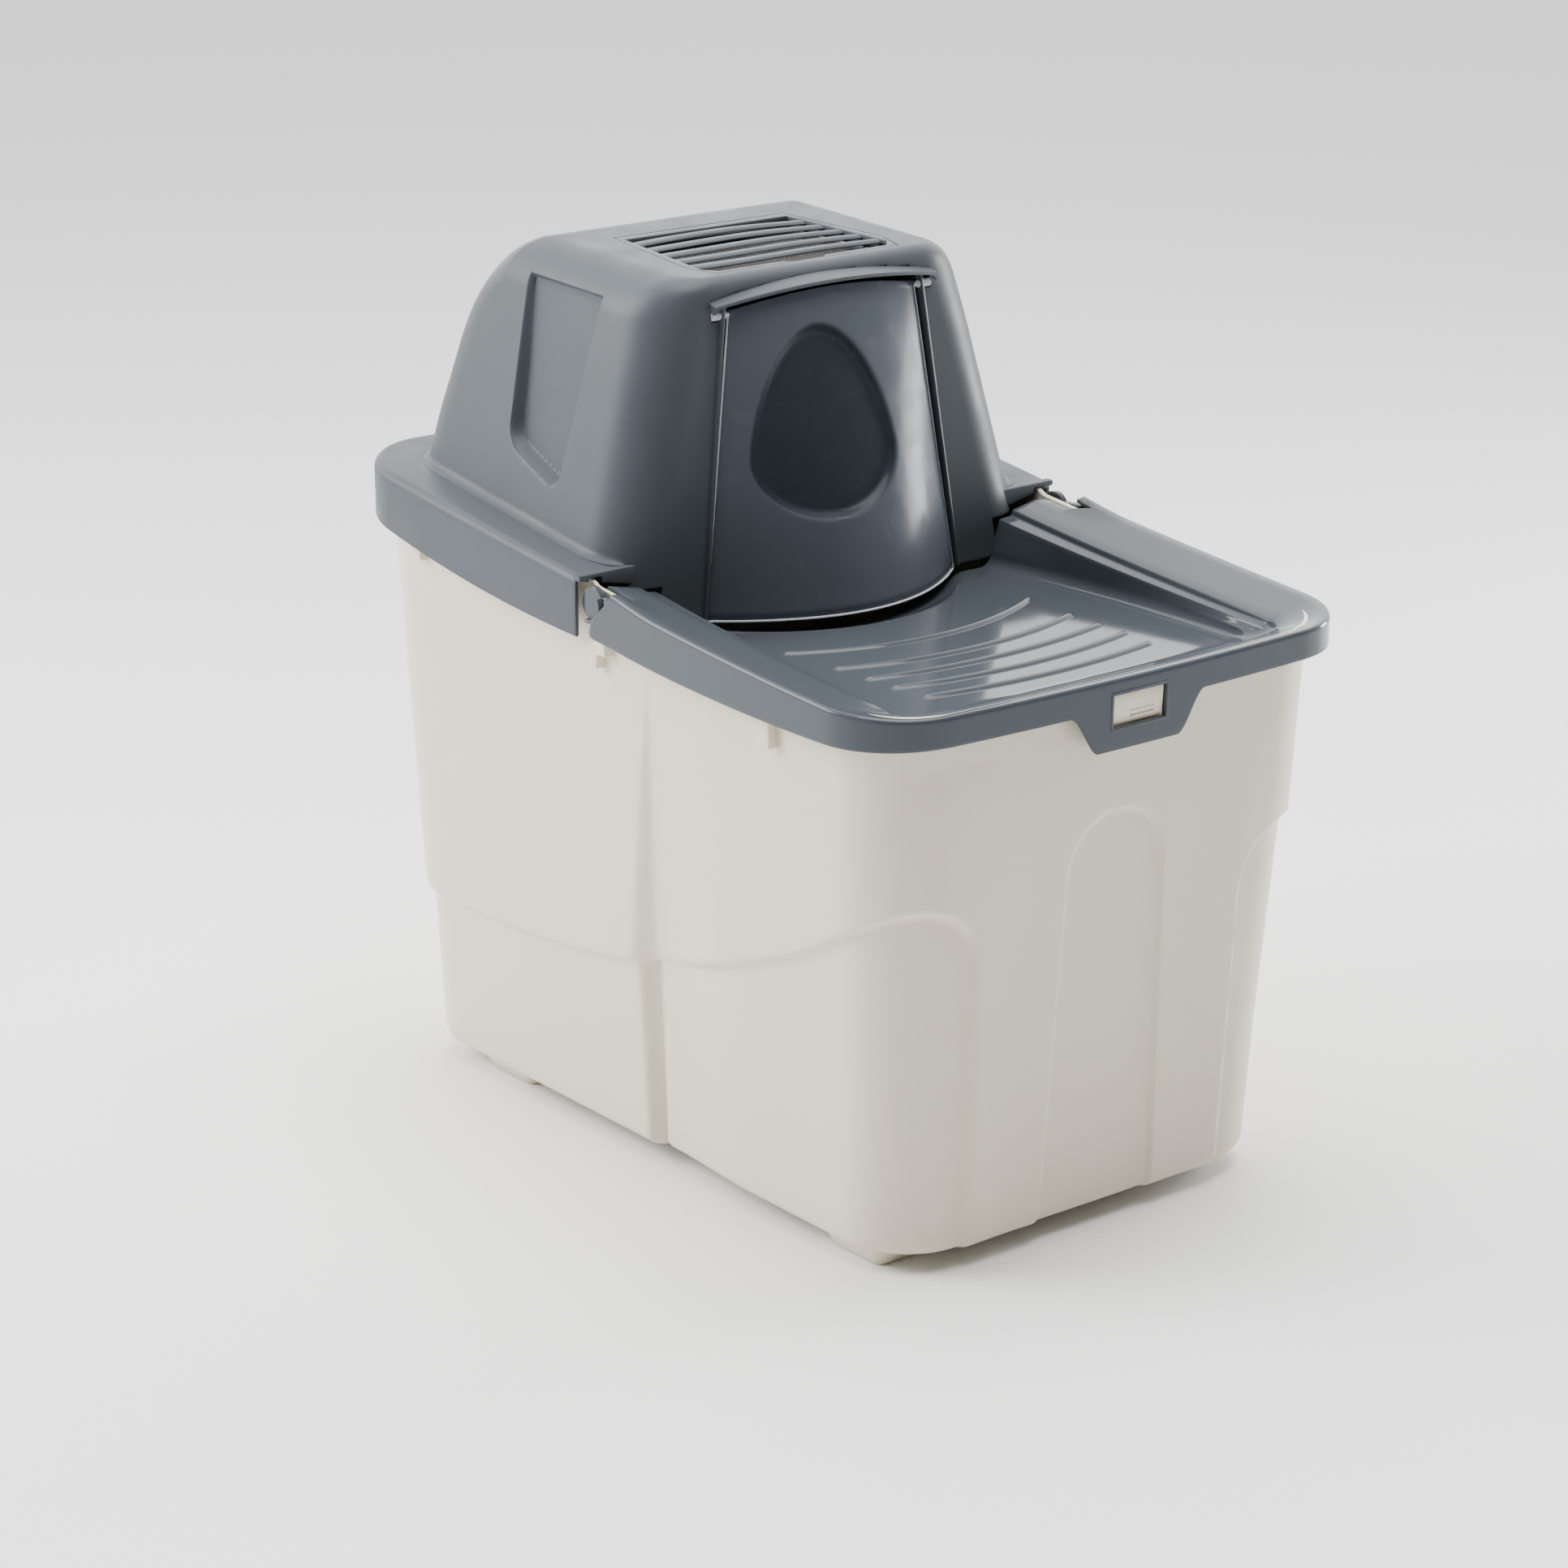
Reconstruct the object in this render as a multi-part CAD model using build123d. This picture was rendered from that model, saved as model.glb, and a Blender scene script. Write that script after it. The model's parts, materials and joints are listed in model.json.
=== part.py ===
from build123d import *
import os

# Hooded cat litter box: a tapered bin on four feet, a hood that lifts off, a step lid with a
# litter-catching tray that hinges on the bin, a smoked swing door in the hood, and a filter
# cover with an active-carbon pad in the hood's roof. Millimetres, +Z up, the step lid and its
# catch face -Y, and the origin is the centre of the outline on the floor.

# Outline shared by the hood's skirt and the step lid.
RIM_HALF_WIDTH = 196.0
RIM_HALF_DEPTH = 280.0
RIM_CORNER = 55.0
SHELL = 2.5
SKIRT_GAP = 2.5

# Limits of the blanks that everything is cut from.
FAR = 400.0
UNDERSIDE_Z = 200.0
BLANK_Z = 440.0
SKY_Z = 600.0
UP = (Align.CENTER, Align.CENTER, Align.MIN)

# Bin.
BASE_Z = 11.0
BASE_HALF_WIDTH = 161.0
BASE_FRONT_Y = -252.0
BASE_REAR_Y = 264.0
SIDE_DRAFT = 0.064
FRONT_DRAFT = 0.052
REAR_DRAFT = 0.02
BIN_CORNER = 50.0
BIN_WALL = 3.0
FLANGE = 3.0
LID_TO_RIM = 3.0

# Top lines of the lid's rails and of the hood's ledge, seen from the side (y, z).
RAIL_FRONT = (-280.0, 367.0)
RAIL_MIDDLE = (-136.0, 377.0)
RAIL_REAR = (6.0, 391.0)
LEDGE_FRONT = (17.0, 395.0)
LEDGE_REAR = (280.0, 426.0)

# Lower edges of the two skirts (y, z).
LID_SKIRT_FRONT = (-280.0, 348.0)
LID_SKIRT_MIDDLE = (-100.0, 350.0)
LID_SKIRT_REAR = (6.0, 358.0)
HOOD_SKIRT_FRONT = (17.0, 355.5)
HOOD_SKIRT_MIDDLE = (155.0, 368.5)
HOOD_SKIRT_REAR = (280.0, 392.0)

# Hinge of the step lid.
HINGE_Y = 4.5
HINGE_Z = 379.0
KNUCKLE_RADIUS = 11.0
LID_PIN_RADIUS = 4.0
CHEEK_INNER_X = 187.5
KNUCKLE_ROOM_X = 185.4
LID_PIN_INNER_X = 177.0
LID_PIN_OUTER_X = 192.0
CHEEK_WEB_FRONT_Y = -24.0
CHEEK_WEB_Z = (370.0, 387.0)
SKIRT_REAR_Y = -4.0
SKIRT_REAR_TOP_Z = 372.0
RUNNING_GAP = 0.05

# Tray of the step lid.
TRAY_HALF_WIDTH = 147.0
TRAY_FRONT_Y = -246.0
TRAY_REAR_Y = -3.0
TRAY_FLOOR_Z = 348.0
TRAY_CORNER = 24.0
ENTRY_RADIUS = 147.0
ENTRY_CENTRE_Y = 103.0
ENTRY_HALF = 130.0
SLOT_REAR_Y = 10.0
SLOT_FRONT_Y = -28.0
SLOT_INNER_X = 179.0

# Apron of the step lid, with the window for the catch.
APRON_TOP_HALF = 52.0
APRON_BOTTOM_HALF = 30.0
APRON_BOTTOM_Z = 322.5
APRON_TOP_Z = 350.0
WINDOW_HALF = 22.0
WINDOW_BOTTOM_Z = 336.0
WINDOW_TOP_Z = 358.0

# Front catch, a rocker on the bin's front wall.
CATCH_HALF = 20.5
CATCH_Y = -273.5
CATCH_Z = 327.0
CATCH_PIN_RADIUS = 1.8
CATCH_TOP_Z = 357.0
CATCH_FACE_Y = -276.9
CATCH_GRIP_Y = -277.2
CATCH_GRIP_Z = 351.0
EAR_GAP = 0.8
EAR_THICK = 3.5
EAR_REACH = 3.0
EAR_HALF_HEIGHT = 5.0

# Dome of the hood.
DOME_HALF = 169.8
DOME_BASE_Z = 397.0
DOME_SIDE_SLOPE = 0.268
DOME_CORNER = 38.0
DOME_TOP_ROUND = 26.0
DOME_FRONT_Y = 8.0
DOME_FRONT_LEAN = 0.062
DOME_ROOF_FRONT_Z = 566.0
DOME_ROOF_REAR_Z = 572.0
DOME_ROOF_REAR_Y = 170.0
DOME_REAR_Y = 252.0
DOME_REAR_Z = 423.0
DOME_FRONT_ROUND = 15.0
BIB_HALF = 133.0
BIB_BOTTOM_Z = 354.0
LIP_Y = 13.0
LIP_DROP = 6.0
LIP_NOTCH = (178.0, 188.0)
LIP_NOTCH_TOP_Z = 392.6

# Doorway and swing door.
DOORWAY_BOTTOM_HALF = 108.0
DOORWAY_TOP_HALF = 84.0
DOORWAY_TOP_Z = 552.0
DOORWAY_ARCH_Z = 560.0
JAMB_DEPTH = 14.0
JAMB_AHEAD = 2.0
DOORWAY_REAR_Y = 34.0
DOOR_PIVOT_Y = 18.0
DOOR_PIVOT_Z = 543.0
DOOR_BOTTOM_Z = 351.5
DOOR_BOTTOM_HALF = 102.4
DOOR_BOTTOM_EDGE_Y = 5.7
DOOR_BOTTOM_BOW = 43.7
DOOR_TOP_HALF = 75.0
DOOR_TOP_EDGE_Y = 17.3
DOOR_TOP_BOW = 10.0
DOOR_TOP_Z = 545.0
DOOR_ARCH_Z = 553.0
DOOR_WALL = 2.2
DOOR_PIN_RADIUS = 2.5
DOOR_BARREL_RADIUS = 4.0
DOOR_BARREL_LENGTH = 10.0
DOOR_BOSS_RADIUS = 5.0
DOOR_BOSS_LENGTH = 6.0
DOOR_COLLAR_RADIUS = 3.6
DOOR_COLLAR_LENGTH = 1.6
VISOR_FRONT_Y = -4.0
VISOR_HALF = 86.0
VISOR_END_Y = 12.0
VISOR_ROOT_Y = 30.0

# Filter compartment in the roof.
GRILLE_REAR_HALF = 70.0
GRILLE_FRONT_HALF = 82.0
GRILLE_NOSE_HALF = 74.0
GRILLE_REAR_Y = 145.0
GRILLE_SHOULDER_Y = 58.0
GRILLE_FRONT_Y = 36.0
GRILLE_THICK = 3.0
GRILLE_GAP = 0.5
GRILLE_PIN_RADIUS = 1.0
GRILLE_PIN_Y = 143.0
GRILLE_TAIL = 0.9
SLOT_COUNT = 6
SLOT_PITCH = 16.5
SLOT_WIDTH = 10.0
SLOT_MARGIN = 8.0
PAD_HALF = 62.0
PAD_FRONT_Y = 42.0
PAD_REAR_Y = 134.0
PAD_BOTTOM_Z = 549.0
PAD_TOP_Z = 560.0
POCKET_WALL = 2.0
POCKET_GAP = 1.0
PAD_BAR_HALF = 2.0
PAD_BAR_PITCH = 22.5
SEAT_WIDTH = 2.0

# Feet.
FOOT_X = 128.0
FOOT_FRONT_Y = -197.0
FOOT_REAR_Y = 172.0
FOOT_WIDTH = 44.0
FOOT_LENGTH = 58.0
FOOT_TAPER = 8.0
PEG_RADIUS = 5.0
PEG_HEIGHT = 5.0
PEG_GAP = 0.3
FOOT_CORNER = 9.0
BOSS_WALL = 3.0


def box_between(low, high):
    """Box from its lowest to its highest corner."""
    size = [high[i] - low[i] for i in range(3)]
    centre = [(high[i] + low[i]) / 2 for i in range(3)]
    return Pos(*centre) * Box(*size)


def both_sides(shape):
    """A shape on the right-hand side together with its mirror image on the left."""
    return [shape, mirror(shape, Plane.YZ)]


def side_prism(edges, half_width=FAR):
    """Prism along X of a closed outline drawn in the YZ plane."""
    face = make_face(Curve() + edges)
    return extrude(Plane.YZ * face, amount=half_width, both=True)


def side_polygon(points, half_width=FAR):
    """Prism along X of a polygon given by its (y, z) corners."""
    return side_prism([Polyline(*points, close=True)], half_width)


def front_polygon(points, y_low, y_high):
    """Prism along Y of a polygon given by its (x, z) corners."""
    face = Plane.XZ * make_face(Polyline(*points, close=True))
    return Pos(0, y_high, 0) * extrude(face, amount=y_high - y_low)


def below_arc(first, middle, last, floor_z):
    """Everything under an arc seen from the side, down to floor_z."""
    return side_prism(
        [
            ThreePointArc(first, middle, last),
            Polyline(last, (last[0], floor_z), (first[0], floor_z), first),
        ]
    )


def below_line(first, last, floor_z):
    """Everything under a straight line seen from the side, down to floor_z."""
    return side_polygon([first, last, (last[0], floor_z), (first[0], floor_z)])


def lowered(point, drop):
    """A (y, z) point moved down by drop."""
    return (point[0], point[1] - drop)


def rounded_block(half_width, front_y, rear_y, corner, low_z, high_z):
    """Upright block with rounded vertical edges."""
    section = RectangleRounded(2 * half_width, rear_y - front_y, corner)
    return Pos(0, (front_y + rear_y) / 2, low_z) * extrude(section, amount=high_z - low_z)


def rim_block(inset):
    """The common outline of hood and lid, inset all round."""
    depth = RIM_HALF_DEPTH - inset
    return rounded_block(
        RIM_HALF_WIDTH - inset, -depth, depth, RIM_CORNER - inset, UNDERSIDE_Z, BLANK_Z
    )


def lid_under(drop):
    """Space below the rails' top line lowered by drop."""
    return below_arc(*[lowered(p, drop) for p in (RAIL_FRONT, RAIL_MIDDLE, RAIL_REAR)], 0.0)


def hood_under(drop):
    """Space below the ledge's top line lowered by drop."""
    return below_line(lowered(LEDGE_FRONT, drop), lowered(LEDGE_REAR, drop), 0.0)


def bin_block(inset, bottom_z):
    """Drafted solid block of the bin with rounded upright edges, inset all round."""

    def wall_place(base, draft, z):
        return base + draft * (z - BASE_Z) - inset

    across = [
        (side * wall_place(BASE_HALF_WIDTH, SIDE_DRAFT, z), z)
        for side, z in ((-1, bottom_z), (1, bottom_z), (1, BLANK_Z), (-1, BLANK_Z))
    ]
    along = [
        (-wall_place(-BASE_FRONT_Y, FRONT_DRAFT, bottom_z), bottom_z),
        (wall_place(BASE_REAR_Y, REAR_DRAFT, bottom_z), bottom_z),
        (wall_place(BASE_REAR_Y, REAR_DRAFT, BLANK_Z), BLANK_Z),
        (-wall_place(-BASE_FRONT_Y, FRONT_DRAFT, BLANK_Z), BLANK_Z),
    ]
    block = front_polygon(across, -FAR, FAR) & side_polygon(along)
    upright = block.edges().filter_by(lambda edge: abs(edge.tangent_at(0.5).Z) > 0.9)
    return fillet(upright, BIN_CORNER - inset)


def below_bin_rim():
    """Space below the bin's upper edge, which follows the lid and then the hood."""
    gap_line = [
        lowered(RAIL_REAR, LID_TO_RIM),
        lowered(LEDGE_FRONT, LID_TO_RIM),
        (LEDGE_FRONT[0], 0.0),
        (RAIL_REAR[0], 0.0),
    ]
    return lid_under(LID_TO_RIM) + hood_under(LID_TO_RIM) + side_polygon(gap_line)


def foot_places():
    """Name and centre of each foot."""
    places = []
    for end, y in (("front", FOOT_FRONT_Y), ("rear", FOOT_REAR_Y)):
        for side, x in (("left", -FOOT_X), ("right", FOOT_X)):
            places.append((f"foot_{end}_{side}", x, y))
    return places


def catch_ears():
    """Two ears on the front wall that hold the catch's rocker pins."""
    inner_x = CATCH_HALF + EAR_GAP
    ear = box_between(
        (inner_x, CATCH_Y - EAR_REACH, CATCH_Z - EAR_HALF_HEIGHT - 1.0),
        (inner_x + EAR_THICK, -BASE_REAR_Y, CATCH_Z + EAR_HALF_HEIGHT - 1.0),
    )
    return both_sides(ear)


def bin_tub():
    """Bin with its sloping rim, flange, hinge bores, foot sockets and catch ears."""
    under_rim = below_bin_rim()
    cavity = bin_block(BIN_WALL, BASE_Z + BIN_WALL)
    walls = (bin_block(0, BASE_Z) & under_rim) - cavity
    hinge_bore = Cylinder(LID_PIN_RADIUS + RUNNING_GAP, 20.0, rotation=(0, 90, 0))
    for bore in both_sides(Pos(LID_PIN_INNER_X + 8.0, HINGE_Y, HINGE_Z) * hinge_bore):
        walls -= bore
    flange_band = under_rim - Pos(0, 0, -FLANGE) * below_bin_rim()
    flange = (rim_block(SHELL + SKIRT_GAP) & flange_band) - bin_block(1.0, BASE_Z)
    knuckle_room = box_between((KNUCKLE_ROOM_X, -34.0, UNDERSIDE_Z), (FAR, 20.0, BLANK_Z))
    for notch in both_sides(knuckle_room):
        flange -= notch
    tub = walls + flange
    for ear in catch_ears():
        tub += ear - cavity
    for _, x, y in foot_places():
        boss = Cylinder(PEG_RADIUS + BOSS_WALL, PEG_HEIGHT + BIN_WALL, align=UP)
        tub += Pos(x, y, BASE_Z) * boss
        tub -= Pos(x, y, BASE_Z) * Cylinder(PEG_RADIUS + RUNNING_GAP, PEG_HEIGHT, align=UP)
    catch_bore = Cylinder(CATCH_PIN_RADIUS + RUNNING_GAP, 60.0, rotation=(0, 90, 0))
    return tub - Pos(0, CATCH_Y, CATCH_Z) * catch_bore


def foot(x, y):
    """Press-in foot: a tapered pad with a peg."""
    sole = (FOOT_WIDTH - FOOT_TAPER, FOOT_LENGTH - FOOT_TAPER)
    bottom = Pos(x, y, 0) * RectangleRounded(*sole, FOOT_CORNER - FOOT_TAPER / 2)
    top = Pos(x, y, BASE_Z) * RectangleRounded(FOOT_WIDTH, FOOT_LENGTH, FOOT_CORNER)
    pad = loft([bottom, top], ruled=True)
    return pad + Pos(x, y, BASE_Z) * Cylinder(PEG_RADIUS, PEG_HEIGHT - PEG_GAP, align=UP)


def lid_pin():
    """Right-hand hinge pin: pressed into the lid's cheek, turning in the bin's wall."""
    length = LID_PIN_OUTER_X - LID_PIN_INNER_X
    shaft = Cylinder(LID_PIN_RADIUS, length, rotation=(0, 90, 0))
    return Pos(LID_PIN_INNER_X + length / 2, HINGE_Y, HINGE_Z) * shaft


def lid_skirt_space():
    """Space above the lower edge of the lid's skirt."""
    below = below_arc(LID_SKIRT_FRONT, LID_SKIRT_MIDDLE, LID_SKIRT_REAR, 0.0)
    return ahead_of_lid_end() - below


def ahead_of_lid_end():
    """Space in front of the plane where the rails end."""
    return box_between((-FAR, -FAR, UNDERSIDE_Z), (FAR, RAIL_REAR[0], BLANK_Z))


def apron():
    """Tongue below the front skirt, with the window that the catch shows in."""
    front_y = -RIM_HALF_DEPTH
    corners = [
        (-APRON_TOP_HALF, APRON_TOP_Z),
        (-APRON_BOTTOM_HALF, APRON_BOTTOM_Z),
        (APRON_BOTTOM_HALF, APRON_BOTTOM_Z),
        (APRON_TOP_HALF, APRON_TOP_Z),
    ]
    return front_polygon(corners, front_y, front_y + SHELL)


def lid_cheek():
    """Right-hand hinge cheek: a disc joined forwards to the skirt."""
    thick = RIM_HALF_WIDTH - SHELL - CHEEK_INNER_X + 0.5
    centre_x = CHEEK_INNER_X + thick / 2
    disc = Pos(centre_x, HINGE_Y, HINGE_Z) * Cylinder(KNUCKLE_RADIUS, thick, rotation=(0, 90, 0))
    web = box_between(
        (CHEEK_INNER_X, CHEEK_WEB_FRONT_Y, CHEEK_WEB_Z[0]),
        (CHEEK_INNER_X + thick, HINGE_Y, CHEEK_WEB_Z[1]),
    )
    return disc + web


def step_lid():
    """Step lid: rails and front rim, skirt with apron, tray with its entry cut-out."""
    top = lid_under(0)
    outline = rim_block(0) & ahead_of_lid_end()
    skirt = (outline & top & lid_skirt_space()) - rim_block(SHELL)
    rails = (outline & top) - lid_under(SHELL)
    inner = rounded_block(
        TRAY_HALF_WIDTH, TRAY_FRONT_Y, FAR, TRAY_CORNER, TRAY_FLOOR_Z, BLANK_Z
    )
    outer = rounded_block(
        TRAY_HALF_WIDTH + SHELL, TRAY_FRONT_Y - SHELL, FAR, TRAY_CORNER + SHELL,
        TRAY_FLOOR_Z - SHELL, BLANK_Z,
    )
    rear_cut = box_between((-FAR, TRAY_REAR_Y, UNDERSIDE_Z), (FAR, FAR, BLANK_Z))
    tray = (outer & top) - inner - rear_cut
    entry = Pos(0, ENTRY_CENTRE_Y, TRAY_FLOOR_Z) * Cylinder(ENTRY_RADIUS, FAR)
    entry &= box_between((-ENTRY_HALF, -FAR, UNDERSIDE_Z), (ENTRY_HALF, FAR, BLANK_Z))
    window = box_between((-WINDOW_HALF, -FAR, WINDOW_BOTTOM_Z), (WINDOW_HALF, CATCH_Y, WINDOW_TOP_Z))
    lid = skirt + (rails - outer) + tray + apron() - entry - window
    slot = box_between(
        (SLOT_INNER_X, SLOT_FRONT_Y, UNDERSIDE_Z), (CHEEK_INNER_X, SLOT_REAR_Y, BLANK_Z)
    )
    pin_bore = Cylinder(LID_PIN_RADIUS, 20.0, rotation=(0, 90, 0))
    for cheek in both_sides(lid_cheek()):
        lid += cheek
    for side_slot in both_sides(slot):
        lid -= side_slot
    for room in both_sides(rear_corner_room()):
        lid -= room
    for bore in both_sides(Pos(LID_PIN_OUTER_X - 10.0, HINGE_Y, HINGE_Z) * pin_bore):
        lid -= bore
    return lid


def rear_corner_room():
    """Space behind the skirt's rear edge, left free below and behind the right knuckle."""
    space = box_between(
        (CHEEK_INNER_X - 1, SKIRT_REAR_Y, UNDERSIDE_Z), (FAR, FAR, SKIRT_REAR_TOP_Z)
    )
    knuckle = Cylinder(KNUCKLE_RADIUS, 20.0, rotation=(0, 90, 0))
    return space - Pos(LID_PIN_OUTER_X, HINGE_Y, HINGE_Z) * knuckle


def front_catch():
    """Catch: a rocker plate with a grip, and a pin along its lower edge."""
    plate = side_polygon(
        [
            (CATCH_FACE_Y, CATCH_Z),
            (CATCH_GRIP_Y, CATCH_GRIP_Z),
            (CATCH_GRIP_Y, CATCH_TOP_Z),
            (CATCH_Y - 0.4, CATCH_TOP_Z),
            (CATCH_Y + 1.0, CATCH_Z + 3.0),
            (CATCH_Y + 1.0, CATCH_Z),
        ],
        CATCH_HALF,
    )
    pin = Cylinder(CATCH_PIN_RADIUS, 2 * (CATCH_HALF + 4.0), rotation=(0, 90, 0))
    return plate + Pos(0, CATCH_Y, CATCH_Z) * pin


def front_wall_y(z):
    """Y of the dome's front face, which leans back a little."""
    return DOME_FRONT_Y + DOME_FRONT_LEAN * (z - DOME_BASE_Z)


def dome_half(z):
    """Half width of the dome at height z."""
    return DOME_HALF - DOME_SIDE_SLOPE * (z - DOME_BASE_Z)


def dome_section(z, inset):
    """Horizontal section of the dome's drafted sides and front."""
    front_y = front_wall_y(z) + inset
    half = dome_half(z) - inset
    section = RectangleRounded(2 * half, FAR - front_y, DOME_CORNER - inset)
    return Pos(0, (front_y + FAR) / 2, z) * section


def dome_block(inset, bottom_z):
    """Solid block of the dome, inset all round, from bottom_z up."""
    sides = loft([dome_section(bottom_z, inset), dome_section(580.0, inset)], ruled=True)
    roof_front = (front_wall_y(DOME_ROOF_FRONT_Z) + inset, DOME_ROOF_FRONT_Z - inset)
    roof_rear = (DOME_ROOF_REAR_Y, DOME_ROOF_REAR_Z - inset)
    rear_top = (DOME_REAR_Y - inset, DOME_REAR_Z)
    front_low = (front_wall_y(bottom_z) + inset, bottom_z)
    outline = Polyline(rear_top, (rear_top[0], bottom_z), front_low, roof_front, roof_rear)
    rear_arc = EllipticalCenterArc(
        (DOME_ROOF_REAR_Y, DOME_REAR_Z),
        DOME_REAR_Y - DOME_ROOF_REAR_Y - inset,
        DOME_ROOF_REAR_Z - DOME_REAR_Z - inset,
        start_angle=0,
        arc_size=90,
    )
    profile = make_face(Curve() + [outline, rear_arc])
    corner = profile.vertices().sort_by_distance((roof_front[0], roof_front[1], 0))[0]
    profile = fillet(corner, DOME_FRONT_ROUND - inset)
    side = extrude(Plane.YZ * profile, amount=FAR, both=True)
    top_z = DOME_ROOF_REAR_Z - inset
    width = make_face(
        Polyline(
            (dome_half(bottom_z) - inset, bottom_z),
            (dome_half(top_z) - inset, top_z),
            (inset - dome_half(top_z), top_z),
            (inset - dome_half(bottom_z), bottom_z),
            close=True,
        )
    )
    shoulders = width.vertices().filter_by(lambda v: v.Y > top_z - 1)
    width = fillet(shoulders, DOME_TOP_ROUND - inset)
    across = Pos(0, FAR, 0) * extrude(Plane.XZ * width, amount=2 * FAR)
    return sides & side & across


def doorway_points(grow):
    """Corners of the doorway's outline (x, z), grown sideways and upwards."""
    bottom = DOORWAY_BOTTOM_HALF + grow
    top = DOORWAY_TOP_HALF + grow
    peak = DOORWAY_ARCH_Z + grow
    shoulder = DOORWAY_TOP_Z + grow
    return [
        (-bottom, BIB_BOTTOM_Z - 20),
        (bottom, BIB_BOTTOM_Z - 20),
        (top, shoulder),
        (top * 0.55, peak - 2),
        (0, peak),
        (-top * 0.55, peak - 2),
        (-top, shoulder),
    ]


def front_slab(ahead, behind, low_z):
    """Leaning slab that follows the hood's front face."""
    return side_polygon(
        [
            (front_wall_y(low_z) - ahead, low_z),
            (front_wall_y(low_z) + behind, low_z),
            (front_wall_y(DOORWAY_ARCH_Z + 4) + behind, DOORWAY_ARCH_Z + 4),
            (front_wall_y(DOORWAY_ARCH_Z + 4) - ahead, DOORWAY_ARCH_Z + 4),
        ]
    )


def visor():
    """Arched visor over the door, bowed forwards."""
    right_end = (VISOR_HALF, VISOR_END_Y)
    left_end = (-VISOR_HALF, VISOR_END_Y)
    plan = make_face(
        Curve()
        + [
            ThreePointArc(left_end, (0, VISOR_FRONT_Y), right_end),
            Polyline(right_end, (VISOR_HALF, VISOR_ROOT_Y), (-VISOR_HALF, VISOR_ROOT_Y), left_end),
        ]
    )
    low_z = DOORWAY_TOP_Z - 6
    footprint = Pos(0, 0, low_z) * extrude(plan, amount=SKY_Z - low_z)
    over = front_polygon(doorway_points(SHELL), -FAR, FAR)
    under = front_polygon(doorway_points(0), -FAR, FAR)
    return footprint & (over - under)


def roof_z(y):
    """Height of the gently rising roof at y."""
    start_y = front_wall_y(DOME_ROOF_FRONT_Z)
    slope = (DOME_ROOF_REAR_Z - DOME_ROOF_FRONT_Z) / (DOME_ROOF_REAR_Y - start_y)
    return DOME_ROOF_FRONT_Z + slope * (y - start_y)


def roof_space(drop, low_z):
    """Space below the roof line lowered by drop, down to low_z."""
    start_y = front_wall_y(DOME_ROOF_FRONT_Z)
    end_y = DOME_ROOF_REAR_Y
    return side_polygon(
        [
            (start_y, roof_z(start_y) - drop),
            (end_y, roof_z(end_y) - drop),
            (end_y, low_z),
            (start_y, low_z),
        ]
    )


def grille_outline(shrink):
    """Plan of the filter cover, shrunk all round."""
    rear = GRILLE_REAR_HALF - shrink
    shoulder = GRILLE_FRONT_HALF - shrink
    nose = GRILLE_NOSE_HALF - shrink
    face = make_face(
        Polyline(
            (-rear, GRILLE_REAR_Y - shrink),
            (-shoulder, GRILLE_SHOULDER_Y),
            (-nose, GRILLE_FRONT_Y + shrink),
            (nose, GRILLE_FRONT_Y + shrink),
            (shoulder, GRILLE_SHOULDER_Y),
            (rear, GRILLE_REAR_Y - shrink),
            close=True,
        )
    )
    return Pos(0, 0, PAD_BOTTOM_Z) * extrude(face, amount=SKY_Z - PAD_BOTTOM_Z)


def filter_compartment():
    """Pocket under the roof that holds the carbon pad, with bars across its floor."""
    low_z = PAD_BOTTOM_Z - SHELL

    def around_pad(grow):
        return box_between(
            (-PAD_HALF - grow, PAD_FRONT_Y - grow, low_z), (PAD_HALF + grow, PAD_REAR_Y + grow, SKY_Z)
        )

    inside = around_pad(POCKET_GAP)
    pocket = (around_pad(POCKET_GAP + POCKET_WALL) - inside) & roof_space(GRILLE_THICK + 1, low_z)
    for place in range(-2, 3):
        bar_x = place * PAD_BAR_PITCH
        pocket += box_between(
            (bar_x - PAD_BAR_HALF, PAD_FRONT_Y - POCKET_WALL, low_z),
            (bar_x + PAD_BAR_HALF, PAD_REAR_Y + POCKET_WALL, PAD_BOTTOM_Z - PEG_GAP),
        )
    seat = (grille_outline(-SEAT_WIDTH) - inside) & roof_space(GRILLE_THICK + GRILLE_GAP, low_z)
    return pocket + (seat - roof_space(GRILLE_THICK + GRILLE_GAP + SHELL, low_z))


def grille_pin_axis_z():
    """Height of the filter cover's hinge pins, in the middle of the cover's thickness."""
    return roof_z(GRILLE_PIN_Y) - GRILLE_THICK / 2


def grille_pins(radius, reach):
    """The two short hinge pins at the rear of the filter cover."""
    pin = Cylinder(radius, reach, rotation=(0, 90, 0))
    x = GRILLE_REAR_HALF - 1.0 + reach / 2
    return both_sides(Pos(x, GRILLE_PIN_Y, grille_pin_axis_z()) * pin)


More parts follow.
